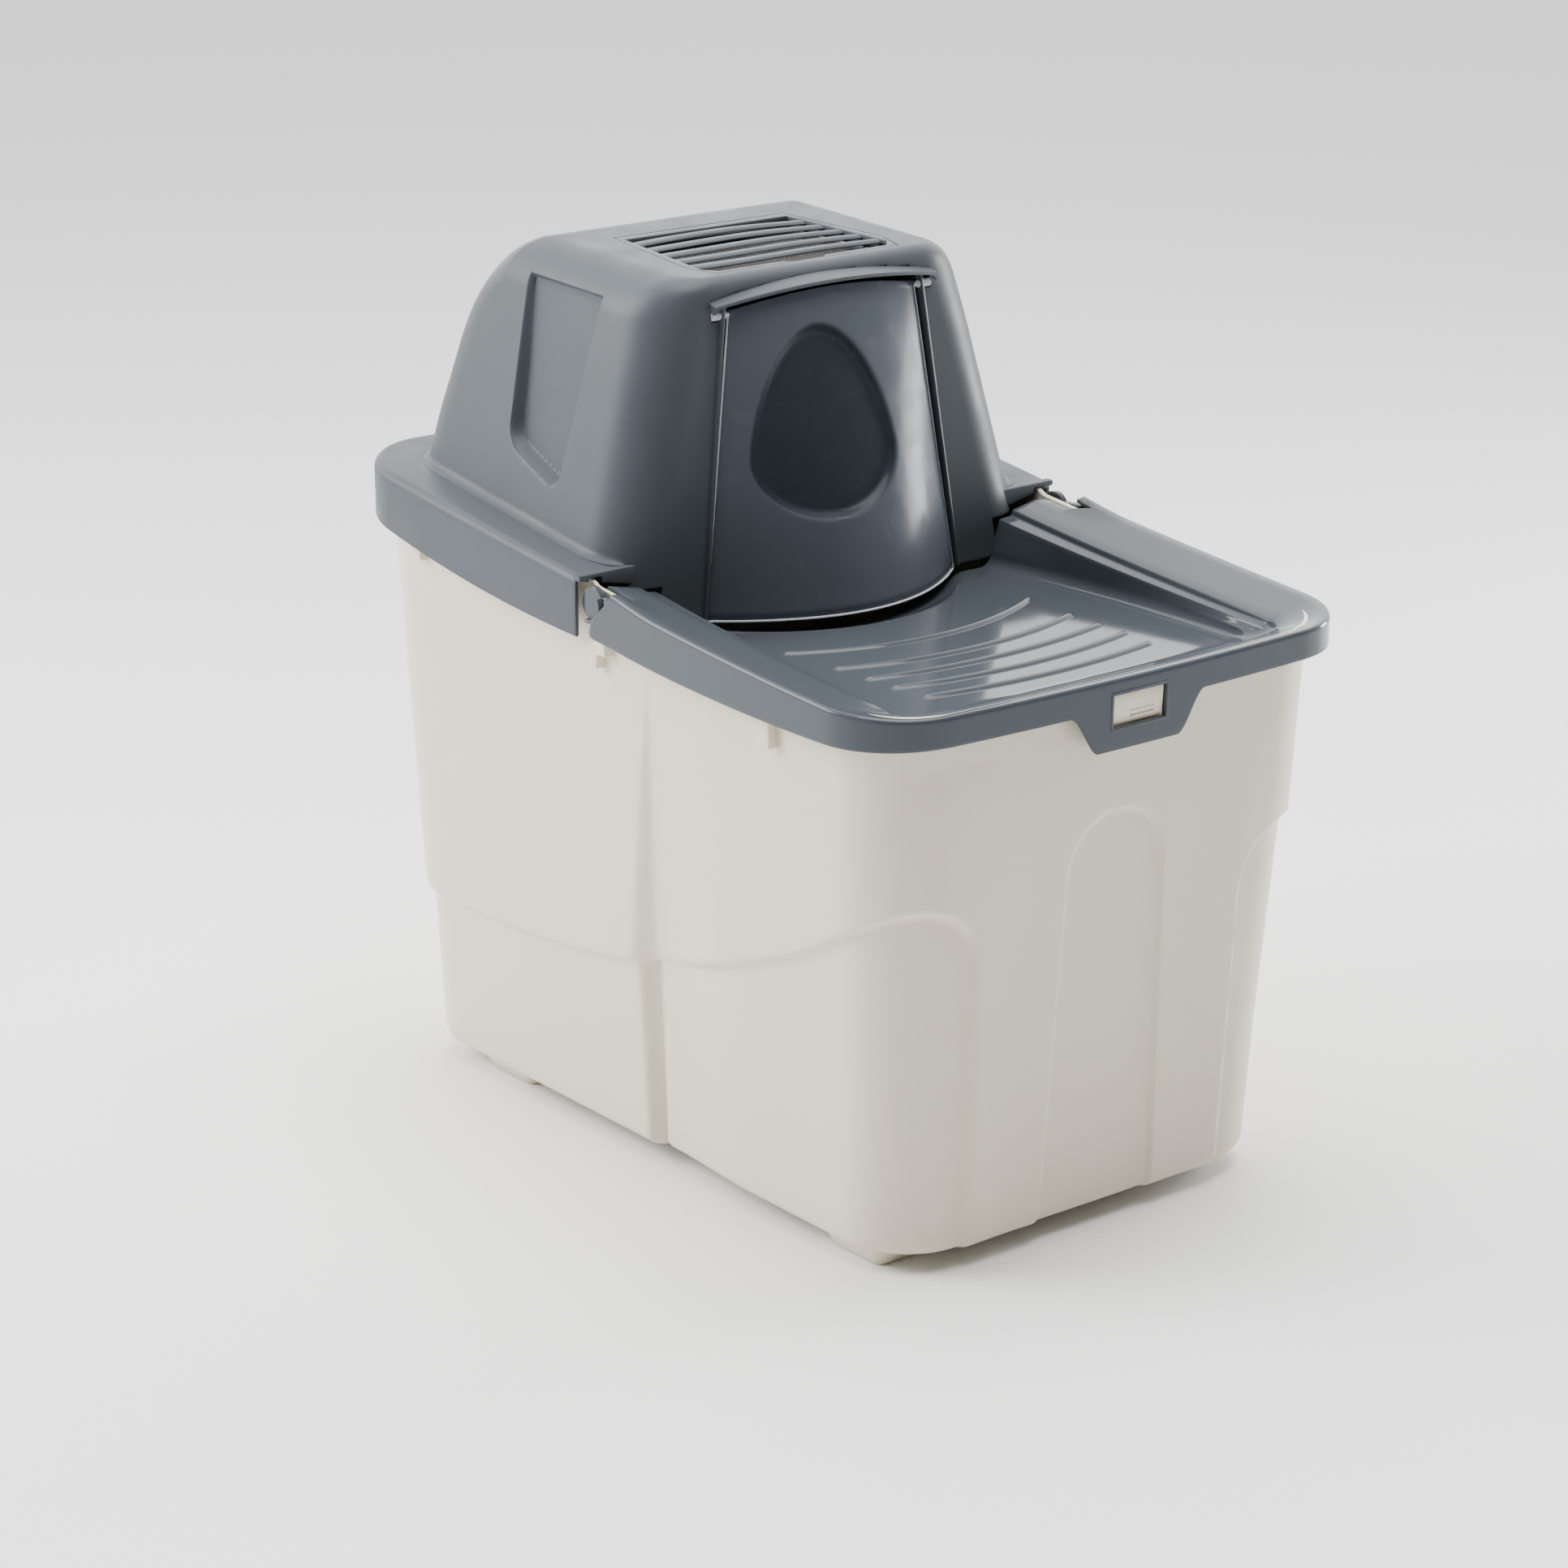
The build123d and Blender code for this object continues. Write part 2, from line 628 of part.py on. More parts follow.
def hood_shell():
    """Hood: ledge, skirt, dome, front bib with the doorway, visor and filter compartment."""
    behind_front = box_between((-FAR, LEDGE_FRONT[0], UNDERSIDE_Z), (FAR, FAR, SKY_Z))
    below_edge = below_arc(HOOD_SKIRT_FRONT, HOOD_SKIRT_MIDDLE, HOOD_SKIRT_REAR, 0.0)
    top = hood_under(0)
    skirt = ((rim_block(0) & top & behind_front) - rim_block(SHELL)) - below_edge
    dome_inner = dome_block(SHELL, 330.0)
    ledge_front = side_polygon(
        [
            (LIP_Y, LEDGE_FRONT[1] - LIP_DROP),
            (LIP_Y, LEDGE_FRONT[1]),
            LEDGE_FRONT,
            (LEDGE_FRONT[0] + SHELL, LEDGE_FRONT[1]),
            (LEDGE_FRONT[0] + SHELL, LEDGE_FRONT[1] - SHELL),
            (LIP_Y + SHELL, LEDGE_FRONT[1] - SHELL),
            (LIP_Y + SHELL, LEDGE_FRONT[1] - LIP_DROP),
        ],
        RIM_HALF_WIDTH,
    )
    lip_notch = box_between((LIP_NOTCH[0], 0, UNDERSIDE_Z), (LIP_NOTCH[1], 100.0, LIP_NOTCH_TOP_Z))
    for notch in both_sides(lip_notch):
        ledge_front -= notch
    ledge = ((rim_block(0) & top) - hood_under(SHELL)) + ledge_front
    dome = dome_block(0, LEDGE_FRONT[1] - SHELL) - dome_inner
    bib = front_slab(0, SHELL, BIB_BOTTOM_Z) & box_between(
        (-BIB_HALF, -50, BIB_BOTTOM_Z), (BIB_HALF, 50, LEDGE_FRONT[1] + 5)
    )
    hood = skirt + (ledge - dome_inner) + dome + bib
    doorway = front_polygon(doorway_points(0), -FAR, DOORWAY_REAR_Y)
    frame = front_polygon(doorway_points(SHELL), -FAR, DOORWAY_REAR_Y) - doorway
    hood -= doorway
    jambs = frame & front_slab(JAMB_AHEAD, JAMB_DEPTH, BIB_BOTTOM_Z)
    hood += jambs
    hood += visor()
    boss = Cylinder(DOOR_BOSS_RADIUS, DOOR_BOSS_LENGTH, rotation=(0, 90, 0))
    for side_boss in both_sides(Pos(DOORWAY_TOP_HALF + 3.5, DOOR_PIVOT_Y, DOOR_PIVOT_Z) * boss):
        hood += side_boss
    bore = Cylinder(DOOR_PIN_RADIUS + RUNNING_GAP, 2 * (DOORWAY_TOP_HALF + 6), rotation=(0, 90, 0))
    hood -= Pos(0, DOOR_PIVOT_Y, DOOR_PIVOT_Z) * bore
    hood -= grille_outline(0) & box_between((-FAR, 0, DOME_ROOF_FRONT_Z - 11), (FAR, FAR, SKY_Z))
    hood += filter_compartment()
    for ear in grille_pins(3.0, 6.0):
        hood += (ear & roof_space(0, PAD_BOTTOM_Z)) - grille_outline(0)
    for pin in grille_pins(GRILLE_PIN_RADIUS + RUNNING_GAP, 5.0):
        hood -= pin
    return hood


def filter_grille():
    """Filter cover: a slotted plate flush with the roof, with a finger notch in its front."""
    layer = roof_space(0, PAD_BOTTOM_Z) - roof_space(GRILLE_THICK, PAD_BOTTOM_Z)
    plate = grille_outline(GRILLE_GAP) & layer
    plate -= box_between((-FAR, GRILLE_PIN_Y + GRILLE_TAIL, PAD_BOTTOM_Z), (FAR, FAR, SKY_Z))
    first_y = GRILLE_SHOULDER_Y - 10.0
    for index in range(SLOT_COUNT):
        y = first_y + index * SLOT_PITCH
        half = GRILLE_REAR_HALF - SLOT_MARGIN
        plate -= box_between(
            (-half, y - SLOT_WIDTH / 2, PAD_BOTTOM_Z), (half, y + SLOT_WIDTH / 2, SKY_Z)
        )
    for pin in grille_pins(GRILLE_PIN_RADIUS, 4.0):
        plate += pin
    return plate


def carbon_filter():
    """Active-carbon foam pad."""
    return box_between(
        (-PAD_HALF, PAD_FRONT_Y, PAD_BOTTOM_Z), (PAD_HALF, PAD_REAR_Y, PAD_TOP_Z)
    )


def door_band(z, half, edge_y, bow):
    """Horizontal section of the bowed door at height z."""
    outer = ThreePointArc((-half, edge_y), (0, edge_y - bow), (half, edge_y))
    inner = ThreePointArc(
        (half, edge_y + DOOR_WALL), (0, edge_y - bow + DOOR_WALL), (-half, edge_y + DOOR_WALL)
    )
    ends = [
        Line((half, edge_y), (half, edge_y + DOOR_WALL)),
        Line((-half, edge_y + DOOR_WALL), (-half, edge_y)),
    ]
    return Pos(0, 0, z) * make_face(Curve() + [outer, inner] + ends)


def swing_door():
    """Bowed see-through door with an arched top edge and a barrel at each top corner."""
    low = door_band(DOOR_BOTTOM_Z, DOOR_BOTTOM_HALF, DOOR_BOTTOM_EDGE_Y, DOOR_BOTTOM_BOW)
    rise = (DOOR_ARCH_Z + 2 - DOOR_BOTTOM_Z) / (DOOR_TOP_Z - DOOR_BOTTOM_Z)
    top_half = DOOR_BOTTOM_HALF + (DOOR_TOP_HALF - DOOR_BOTTOM_HALF) * rise
    top_edge_y = DOOR_BOTTOM_EDGE_Y + (DOOR_TOP_EDGE_Y - DOOR_BOTTOM_EDGE_Y) * rise
    top_bow = DOOR_BOTTOM_BOW + (DOOR_TOP_BOW - DOOR_BOTTOM_BOW) * rise
    high = door_band(DOOR_ARCH_Z + 2, top_half, top_edge_y, top_bow)
    pane = loft([low, high], ruled=True)
    arch = make_face(
        Curve()
        + [
            ThreePointArc((-DOOR_TOP_HALF, DOOR_TOP_Z), (0, DOOR_ARCH_Z), (DOOR_TOP_HALF, DOOR_TOP_Z)),
            Polyline(
                (DOOR_TOP_HALF, DOOR_TOP_Z), (FAR, DOOR_TOP_Z), (FAR, 300.0),
                (-FAR, 300.0), (-FAR, DOOR_TOP_Z), (-DOOR_TOP_HALF, DOOR_TOP_Z),
            ),
        ]
    )
    pane &= Pos(0, 60.0, 0) * extrude(Plane.XZ * arch, amount=200.0)
    barrel = Cylinder(DOOR_BARREL_RADIUS, DOOR_BARREL_LENGTH, rotation=(0, 90, 0))
    for side_barrel in both_sides(Pos(DOOR_TOP_HALF - 4.0, DOOR_PIVOT_Y, DOOR_PIVOT_Z) * barrel):
        pane += side_barrel
    for bore in both_sides(door_shaft()):
        pane -= bore
    return pane


def door_shaft():
    """Shaft of the right-hand door pin, from inside the barrel to inside the jamb."""
    inner_x = DOOR_TOP_HALF + 1.0 - DOOR_BARREL_LENGTH
    outer_x = DOORWAY_TOP_HALF + 5.5
    shaft = Cylinder(DOOR_PIN_RADIUS, outer_x - inner_x, rotation=(0, 90, 0))
    return Pos((outer_x + inner_x) / 2, DOOR_PIVOT_Y, DOOR_PIVOT_Z) * shaft


def door_pivot():
    """Right-hand door pin: pressed into the door's barrel, turning in the hood's jamb."""
    collar = Cylinder(DOOR_COLLAR_RADIUS, DOOR_COLLAR_LENGTH, rotation=(0, 90, 0))
    return door_shaft() + Pos(DOOR_TOP_HALF + 2.2, DOOR_PIVOT_Y, DOOR_PIVOT_Z) * collar


def nodes():
    """Every node's name with its shape."""
    parts = {"bin_tub": bin_tub(), "hood_shell": hood_shell(), "step_lid": step_lid()}
    for name, x, y in foot_places():
        parts[name] = foot(x, y)
    for name, maker in (("lid_hinge_pin", lid_pin), ("door_pivot", door_pivot)):
        right, left = both_sides(maker())
        parts[name + "_right"] = right
        parts[name + "_left"] = left
    parts["front_catch"] = front_catch()
    parts["filter_grille"] = filter_grille()
    parts["carbon_filter"] = carbon_filter()
    parts["swing_door"] = swing_door()
    return parts


os.makedirs("parts", exist_ok=True)
for node_name, node_shape in nodes().items():
    export_step(node_shape, f"parts/{node_name}.step")
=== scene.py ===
"""Looks of the hooded cat litter box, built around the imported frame.

Shapes are worked out in millimetres in the CAD's own frame and turned into metres when a mesh is
made. The front with the step lid faces -Y, the hood is at +Y, and both halves mirror in X.
"""

import json
import math

import bmesh
import bpy
import numpy as np
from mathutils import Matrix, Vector, noise


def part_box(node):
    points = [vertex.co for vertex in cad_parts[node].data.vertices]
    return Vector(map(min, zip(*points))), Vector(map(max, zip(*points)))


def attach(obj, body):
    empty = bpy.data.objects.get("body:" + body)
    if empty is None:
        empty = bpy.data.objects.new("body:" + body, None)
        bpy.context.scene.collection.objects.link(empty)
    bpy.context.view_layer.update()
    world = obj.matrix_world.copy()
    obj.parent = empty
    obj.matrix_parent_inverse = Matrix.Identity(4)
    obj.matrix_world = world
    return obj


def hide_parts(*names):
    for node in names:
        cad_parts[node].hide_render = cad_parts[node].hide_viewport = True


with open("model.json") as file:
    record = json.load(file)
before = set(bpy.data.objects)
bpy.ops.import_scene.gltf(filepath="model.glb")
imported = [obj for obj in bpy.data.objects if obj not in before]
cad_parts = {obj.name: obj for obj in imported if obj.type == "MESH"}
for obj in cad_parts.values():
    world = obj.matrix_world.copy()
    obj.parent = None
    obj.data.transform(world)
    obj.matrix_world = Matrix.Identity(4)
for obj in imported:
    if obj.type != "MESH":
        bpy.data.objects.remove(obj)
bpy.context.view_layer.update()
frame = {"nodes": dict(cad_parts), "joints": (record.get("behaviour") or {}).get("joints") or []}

MM = 0.001


def node_box(node):
    """Lowest and highest corner of a CAD node in millimetres."""
    low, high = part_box(node)
    return np.array(low) / MM, np.array(high) / MM


def joint_place(name):
    """(y, z) of a hinge's axis in millimetres."""
    joint = next(j for j in frame["joints"] if j["name"] == name)
    return joint["pos_m"][1] / MM, joint["pos_m"][2] / MM


# Driving dimensions, from the frame.
LID_LOW, LID_HIGH = node_box("step_lid")
PAD_LOW, PAD_HIGH = node_box("carbon_filter")
HOOD_HIGH = node_box("hood_shell")[1]
DOOR_LOW = node_box("swing_door")[0]
CATCH_HIGH = node_box("front_catch")[1]
FOOT_TOP = 11.0
RIM_HALF = LID_HIGH[0]
RIM_FRONT = LID_LOW[1]
RIM_REAR = HOOD_HIGH[1]
RIM_CORNER = 55.0
HINGE_Y, HINGE_Z = joint_place("lid_hinge")
DOOR_PIVOT_Y, DOOR_PIVOT_Z = joint_place("door_swing")
WALL = 2.5
BOW_HALF = 150.0
LEDGE_FRONT_Y = 17.0
LEDGE_LENGTH = 263.0
LEDGE_LOW_Z = 395.0
LEDGE_RISE = 31.0
LID_END_Y = 6.0


# ---------------------------------------------------------------- mesh helpers


def smooth(t):
    """Soft step from 0 to 1."""
    t = np.clip(t, 0.0, 1.0)
    return t * t * (3 - 2 * t)


def mixed(ends, t):
    """Value between two ends, the first at t = 0 and the second at t = 1."""
    return ends[0] + (ends[1] - ends[0]) * t


def arc_height(first, middle, last):
    """Height z(y) of the circle through three (y, z) points, where it is nearly flat."""
    (ax, ay), (bx, by), (cx, cy) = first, middle, last
    d = 2 * (ax * (by - cy) + bx * (cy - ay) + cx * (ay - by))
    a2, b2, c2 = ax * ax + ay * ay, bx * bx + by * by, cx * cx + cy * cy
    centre_y = (a2 * (by - cy) + b2 * (cy - ay) + c2 * (ay - by)) / d
    centre_z = (a2 * (cx - bx) + b2 * (ax - cx) + c2 * (bx - ax)) / d
    radius = math.hypot(ax - centre_y, ay - centre_z)
    side = 1 if ay > centre_z else -1
    return lambda y: centre_z + side * np.sqrt(radius**2 - (np.asarray(y) - centre_y) ** 2)


rail_z = arc_height((-280.0, 367.0), (-136.0, 377.0), (6.0, 391.0))
lid_edge_z = arc_height((-280.0, 348.0), (-100.0, 350.0), (6.0, 358.0))
hood_edge_z = arc_height((17.0, 355.5), (155.0, 368.5), (280.0, 392.0))


def ledge_z(y):
    """Height of the hood's sloping ledge."""
    return LEDGE_LOW_Z + (np.asarray(y) - LEDGE_FRONT_Y) * LEDGE_RISE / LEDGE_LENGTH


def front_bow(x):
    """Share of the front's forward bow at x: 1 in the middle and 0 towards the corners."""
    return np.clip(1 - (x / BOW_HALF) ** 2, 0.0, 1.0)


def put_in_scene(name, data):
    """New object in the scene for a mesh, a light or a camera."""
    obj = bpy.data.objects.new(name, data)
    bpy.context.scene.collection.objects.link(obj)
    return obj


def make_object(name, points, faces):
    """Object from points in millimetres and a list of faces."""
    mesh = bpy.data.meshes.new(name)
    mesh.from_pydata((np.asarray(points, float).reshape(-1, 3) * MM).tolist(), [], faces)
    mesh.validate()
    return put_in_scene(name, mesh)


def object_from_bmesh(name, mesh):
    """Object from an edit mesh, which is freed."""
    data = bpy.data.meshes.new(name)
    mesh.to_mesh(data)
    mesh.free()
    return put_in_scene(name, data)


def rework(obj, change):
    """Runs a change on the edit mesh of an object."""
    mesh = bmesh.new()
    mesh.from_mesh(obj.data)
    change(mesh)
    mesh.to_mesh(obj.data)
    mesh.free()


def even_normals(mesh):
    """Turns all normals of a closed edit mesh outwards."""
    bmesh.ops.recalc_face_normals(mesh, faces=mesh.faces)


def weld(mesh):
    """Drops loose points of an edit mesh and joins points that lie together."""
    loose = [v for v in mesh.verts if not v.link_faces]
    bmesh.ops.delete(mesh, geom=loose, context="VERTS")
    bmesh.ops.remove_doubles(mesh, verts=mesh.verts, dist=0.01 * MM)


def grid_faces(rows, columns, wrap):
    """Quads of a grid, as an array of rows by columns by four indices."""
    row = np.arange(rows - 1)[:, None]
    column = np.arange(columns if wrap else columns - 1)[None, :]
    first = row * columns + column
    second = row * columns + (column + 1) % columns
    return np.stack([first, second, second + columns, first + columns], -1)


def face_outwards(obj, inside):
    """Turns the normals so that they point away from a point inside, in millimetres."""
    mesh = obj.data
    count = len(mesh.polygons)
    normals = np.empty(count * 3)
    centres = np.empty(count * 3)
    areas = np.empty(count)
    mesh.polygons.foreach_get("normal", normals)
    mesh.polygons.foreach_get("center", centres)
    mesh.polygons.foreach_get("area", areas)
    away = centres.reshape(-1, 3) - np.asarray(inside) * MM
    if (np.einsum("ij,ij->i", normals.reshape(-1, 3), away) * areas).sum() < 0:
        mesh.flip_normals()


def grid_object(name, rows, inside, wrap=False, keep=None):
    """Surface through rows of points; keep says which of its faces stay."""
    rows = np.asarray(rows, float)
    faces = grid_faces(rows.shape[0], rows.shape[1], wrap)
    faces = faces[keep] if keep is not None else faces.reshape(-1, 4)
    obj = make_object(name, rows, faces.tolist())
    rework(obj, weld)
    face_outwards(obj, inside)
    return obj


def bake_modifiers(obj):
    """Replaces an object's mesh by what its modifiers make of it."""
    graph = bpy.context.evaluated_depsgraph_get()
    baked = bpy.data.meshes.new_from_object(obj.evaluated_get(graph))
    obj.modifiers.clear()
    obj.data = baked


def shade(obj, angle=38.0):
    """Smooth shading, with edges sharper than the angle left crisp."""
    obj.data.shade_smooth()
    obj.data.set_sharp_from_angle(angle=math.radians(angle))


def thicken(obj, wall=WALL, edge=0.5):
    """Gives a surface its wall thickness, inwards, with small rounded rims."""
    solid = obj.modifiers.new("wall", "SOLIDIFY")
    solid.thickness = wall * MM
    solid.offset = -1.0
    rim = obj.modifiers.new("rim", "BEVEL")
    rim.width = edge * MM
    rim.segments = 2
    rim.limit_method = "ANGLE"
    rim.angle_limit = math.radians(65)
    bake_modifiers(obj)
    return obj


def sweep(name, sections, ring=False):
    """Solid through closed sections, capped at both ends unless it runs round in a ring."""
    sections = np.asarray(sections, float)
    stations, corners = sections.shape[:2]
    faces = grid_faces(stations, corners, True).reshape(-1, 4).tolist()
    if ring:
        last = (stations - 1) * corners
        for k in range(corners):
            n = (k + 1) % corners
            faces.append([last + k, last + n, n, k])
    else:
        faces.append(list(range(corners))[::-1])
        faces.append(list(range((stations - 1) * corners, stations * corners)))
    obj = make_object(name, sections, faces)
    rework(obj, even_normals)
    return obj


def block(name, low, high, edge=0.8):
    """Block with rounded edges between two corners in millimetres."""
    mesh = bmesh.new()
    bmesh.ops.create_cube(mesh, size=1.0)
    low, high = Vector(low), Vector(high)
    for vert in mesh.verts:
        for axis in range(3):
            vert.co[axis] = (low[axis] if vert.co[axis] < 0 else high[axis]) * MM
    bmesh.ops.bevel(
        mesh, geom=list(mesh.edges), offset=edge * MM, segments=3, profile=0.5, affect="EDGES"
    )
    return object_from_bmesh(name, mesh)


def mirrored(obj):
    """Mirror image of an object in X."""
    twin = put_in_scene(obj.name + "_twin", obj.data.copy())
    for vert in twin.data.vertices:
        vert.co.x = -vert.co.x
    twin.data.flip_normals()
    return twin


def join(name, objects):
    """One object made of several, as islands of one moulding."""
    main = objects[0]
    with bpy.context.temp_override(
        active_object=main, object=main, selected_objects=objects, selected_editable_objects=objects
    ):
        bpy.ops.object.join()
    main.name = name
    main.data.name = name
    return main


def place(obj, body, slot, material, *nodes):
    """Gives a finished piece its material and its body and hides the CAD nodes it stands for; the slot
    is not used.
    """
    obj.data.materials.clear()
    obj.data.materials.append(material)
    shade(obj)
    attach(obj, body)
    if nodes:
        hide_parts(*nodes)
    return obj


# ---------------------------------------------------------------- materials

EGG_CENTRE_X = -16.0
EGG_CENTRE_Z = 450.0
EGG_HALF_WIDTH = 56.0
EGG_LOW = 40.0
EGG_HIGH = 84.0
EGG_NARROWING = 0.16


def new_material(name):
    """Empty node material with a principled shader, and its node tree."""
    material = bpy.data.materials.new(name)
    material.use_nodes = True
    tree = material.node_tree
    return material, tree, tree.nodes["Principled BSDF"]


def noise_node(tree, coords, scale, detail):
    """Noise of so many waves per metre of the object."""
    node = tree.nodes.new("ShaderNodeTexNoise")
    node.inputs["Scale"].default_value = scale
    node.inputs["Detail"].default_value = detail
    tree.links.new(coords.outputs["Object"], node.inputs["Vector"])
    return node


def spread(tree, source, low, high):
    """Maps a noise's output to a range of numbers."""
    node = tree.nodes.new("ShaderNodeMapRange")
    node.inputs["From Min"].default_value = 0.3
    node.inputs["From Max"].default_value = 0.7
    node.inputs["To Min"].default_value = low
    node.inputs["To Max"].default_value = high
    tree.links.new(source.outputs["Fac"], node.inputs["Value"])
    return node


def two_tones(tree, shader, clouds, colour, tone):
    """Base colour that wanders between a colour and the same colour times a tone."""
    mix = tree.nodes.new("ShaderNodeMix")
    mix.data_type = "RGBA"
    mix.inputs["A"].default_value = (*colour, 1)
    mix.inputs["B"].default_value = (*[c * tone for c in colour], 1)
    tree.links.new(clouds.outputs["Fac"], mix.inputs["Factor"])
    tree.links.new(mix.outputs["Result"], shader.inputs["Base Color"])


def add_bump(tree, height, strength, distance, below=None):
    """Bump of so many millimetres from a height socket, over another bump if one is given."""
    bump = tree.nodes.new("ShaderNodeBump")
    bump.inputs["Strength"].default_value = strength
    bump.inputs["Distance"].default_value = distance * MM
    tree.links.new(height, bump.inputs["Height"])
    if below:
        tree.links.new(below.outputs["Normal"], bump.inputs["Normal"])
    return bump


def moulded_plastic(name, colour, tone, roughness, grain, depth, specular=0.5):
    """Injection-moulded plastic: slight tone variation, fine grain and uneven gloss."""
    material, tree, shader = new_material(name)
    coords = tree.nodes.new("ShaderNodeTexCoord")
    two_tones(tree, shader, noise_node(tree, coords, 9.0, 4.0), colour, tone)
    wear = noise_node(tree, coords, 40.0, 3.0)
    gloss = spread(tree, wear, roughness * 0.88, roughness * 1.14)
    tree.links.new(gloss.outputs["Result"], shader.inputs["Roughness"])
    fine = noise_node(tree, coords, grain, 2.0)
    waves = noise_node(tree, coords, 22.0, 1.0)
    fine_bump = add_bump(tree, fine.outputs["Fac"], 0.35, depth)
    wave_bump = add_bump(tree, waves.outputs["Fac"], 0.25, 0.25, fine_bump)
    tree.links.new(wave_bump.outputs["Normal"], shader.inputs["Normal"])
    shader.inputs["Specular IOR Level"].default_value = specular
    return material


def clear_plastic(name, colour, alpha, roughness):
    """See-through moulded plastic with faint flow marks."""
    material, tree, shader = new_material(name)
    coords = tree.nodes.new("ShaderNodeTexCoord")
    two_tones(tree, shader, noise_node(tree, coords, 14.0, 3.0), colour, 1.25)
    gloss = spread(tree, noise_node(tree, coords, 60.0, 3.0), roughness * 0.8, roughness * 1.3)
    tree.links.new(gloss.outputs["Result"], shader.inputs["Roughness"])
    flow = noise_node(tree, coords, 18.0, 1.0)
    bump = add_bump(tree, flow.outputs["Fac"], 0.3, 0.3)
    tree.links.new(bump.outputs["Normal"], shader.inputs["Normal"])
    shader.inputs["Alpha"].default_value = alpha
    shader.inputs["IOR"].default_value = 1.28
    shader.inputs["Specular IOR Level"].default_value = 0.25
    return material


def painted_shade_egg_mask(tree, coords):
    """Socket that is 1 on the egg-shaped middle of the door, where shade is painted, and 0 around it."""
    def math_node(operation, first, second):
        node = tree.nodes.new("ShaderNodeMath")
        node.operation = operation
        for slot, value in enumerate((first, second)):
            if isinstance(value, float):
                node.inputs[slot].default_value = value
            else:
                tree.links.new(value, node.inputs[slot])
        return node.outputs["Value"]

    parts = tree.nodes.new("ShaderNodeSeparateXYZ")
    tree.links.new(coords.outputs["Object"], parts.inputs["Vector"])
    up = math_node("SUBTRACT", parts.outputs["Z"], EGG_CENTRE_Z * MM)
    above = math_node("GREATER_THAN", up, 0.0)
    tall = math_node("MULTIPLY", above, (EGG_HIGH - EGG_LOW) * MM)
    tall = math_node("ADD", tall, EGG_LOW * MM)
    rise = math_node("DIVIDE", up, tall)
    narrowing = math_node("MULTIPLY", math_node("MAXIMUM", rise, 0.0), EGG_NARROWING)
    width = math_node("MULTIPLY", math_node("SUBTRACT", 1.0, narrowing), EGG_HALF_WIDTH * MM)
    aside = math_node("SUBTRACT", parts.outputs["X"], EGG_CENTRE_X * MM)
    aside = math_node("DIVIDE", aside, width)
    reach = math_node("ADD", math_node("MULTIPLY", aside, aside), math_node("MULTIPLY", rise, rise))
    mask = tree.nodes.new("ShaderNodeMapRange")
    mask.interpolation_type = "SMOOTHSTEP"
    mask.inputs["From Min"].default_value = 1.0
    mask.inputs["From Max"].default_value = 0.90
    tree.links.new(reach, mask.inputs["Value"])
    return mask.outputs["Result"]


def paint_door_egg_shade(material, painted_shade_colour):
    """Painted shade: darkens the colour of the door's egg-shaped middle, for the dark inside seen
    through the pane.
    """
    tree = material.node_tree
    shader = tree.nodes["Principled BSDF"]
    coords = next(n for n in tree.nodes if n.bl_idname == "ShaderNodeTexCoord")
    before = shader.inputs["Base Color"].links[0].from_socket
    mix = tree.nodes.new("ShaderNodeMix")
    mix.data_type = "RGBA"
    mix.inputs["B"].default_value = (*painted_shade_colour, 1)
    tree.links.new(before, mix.inputs["A"])
    tree.links.new(painted_shade_egg_mask(tree, coords), mix.inputs["Factor"])
    tree.links.new(mix.outputs["Result"], shader.inputs["Base Color"])


def foam_material(name):
    """Black open-cell foam."""
    material, tree, shader = new_material(name)
    coords = tree.nodes.new("ShaderNodeTexCoord")
    cells = tree.nodes.new("ShaderNodeTexVoronoi")
    cells.inputs["Scale"].default_value = 650.0
    tree.links.new(coords.outputs["Object"], cells.inputs["Vector"])
    ramp = tree.nodes.new("ShaderNodeValToRGB")
    ramp.color_ramp.elements[0].color = (0.004, 0.004, 0.004, 1)
    ramp.color_ramp.elements[1].color = (0.075, 0.07, 0.065, 1)
    tree.links.new(cells.outputs["Distance"], ramp.inputs["Fac"])
    tree.links.new(ramp.outputs["Color"], shader.inputs["Base Color"])
    bump = add_bump(tree, cells.outputs["Distance"], 1.0, 0.8)
    tree.links.new(bump.outputs["Normal"], shader.inputs["Normal"])
    shader.inputs["Roughness"].default_value = 0.95
    return material


BIN_PLASTIC = moulded_plastic("bin_plastic", (0.71, 0.645, 0.51), 0.96, 0.42, 1600.0, 0.05)
HOOD_PLASTIC = moulded_plastic(
    "hood_plastic", (0.063, 0.074, 0.085), 0.90, 0.42, 1300.0, 0.09, specular=0.2
)
LID_PLASTIC = moulded_plastic(
    "lid_plastic", (0.056, 0.066, 0.076), 0.93, 0.09, 1300.0, 0.01, specular=0.22
)
SMOKED_AND_SHADED_PANE = clear_plastic("smoked_pane", (0.080, 0.091, 0.109), 0.92, 0.22)
# Painted shade: the door's egg-shaped middle is darkened in its colour.
paint_door_egg_shade(SMOKED_AND_SHADED_PANE, (0.030, 0.038, 0.047))
# Pale clear plastic of the door's pins, also used for the painted highlight along the door's edge.
CLEAR_PLASTIC_AND_HIGHLIGHT = clear_plastic("clear_plastic", (0.72, 0.76, 0.80), 0.70, 0.15)
CARBON_FOAM = foam_material("carbon_foam")


# ---------------------------------------------------------------- bin

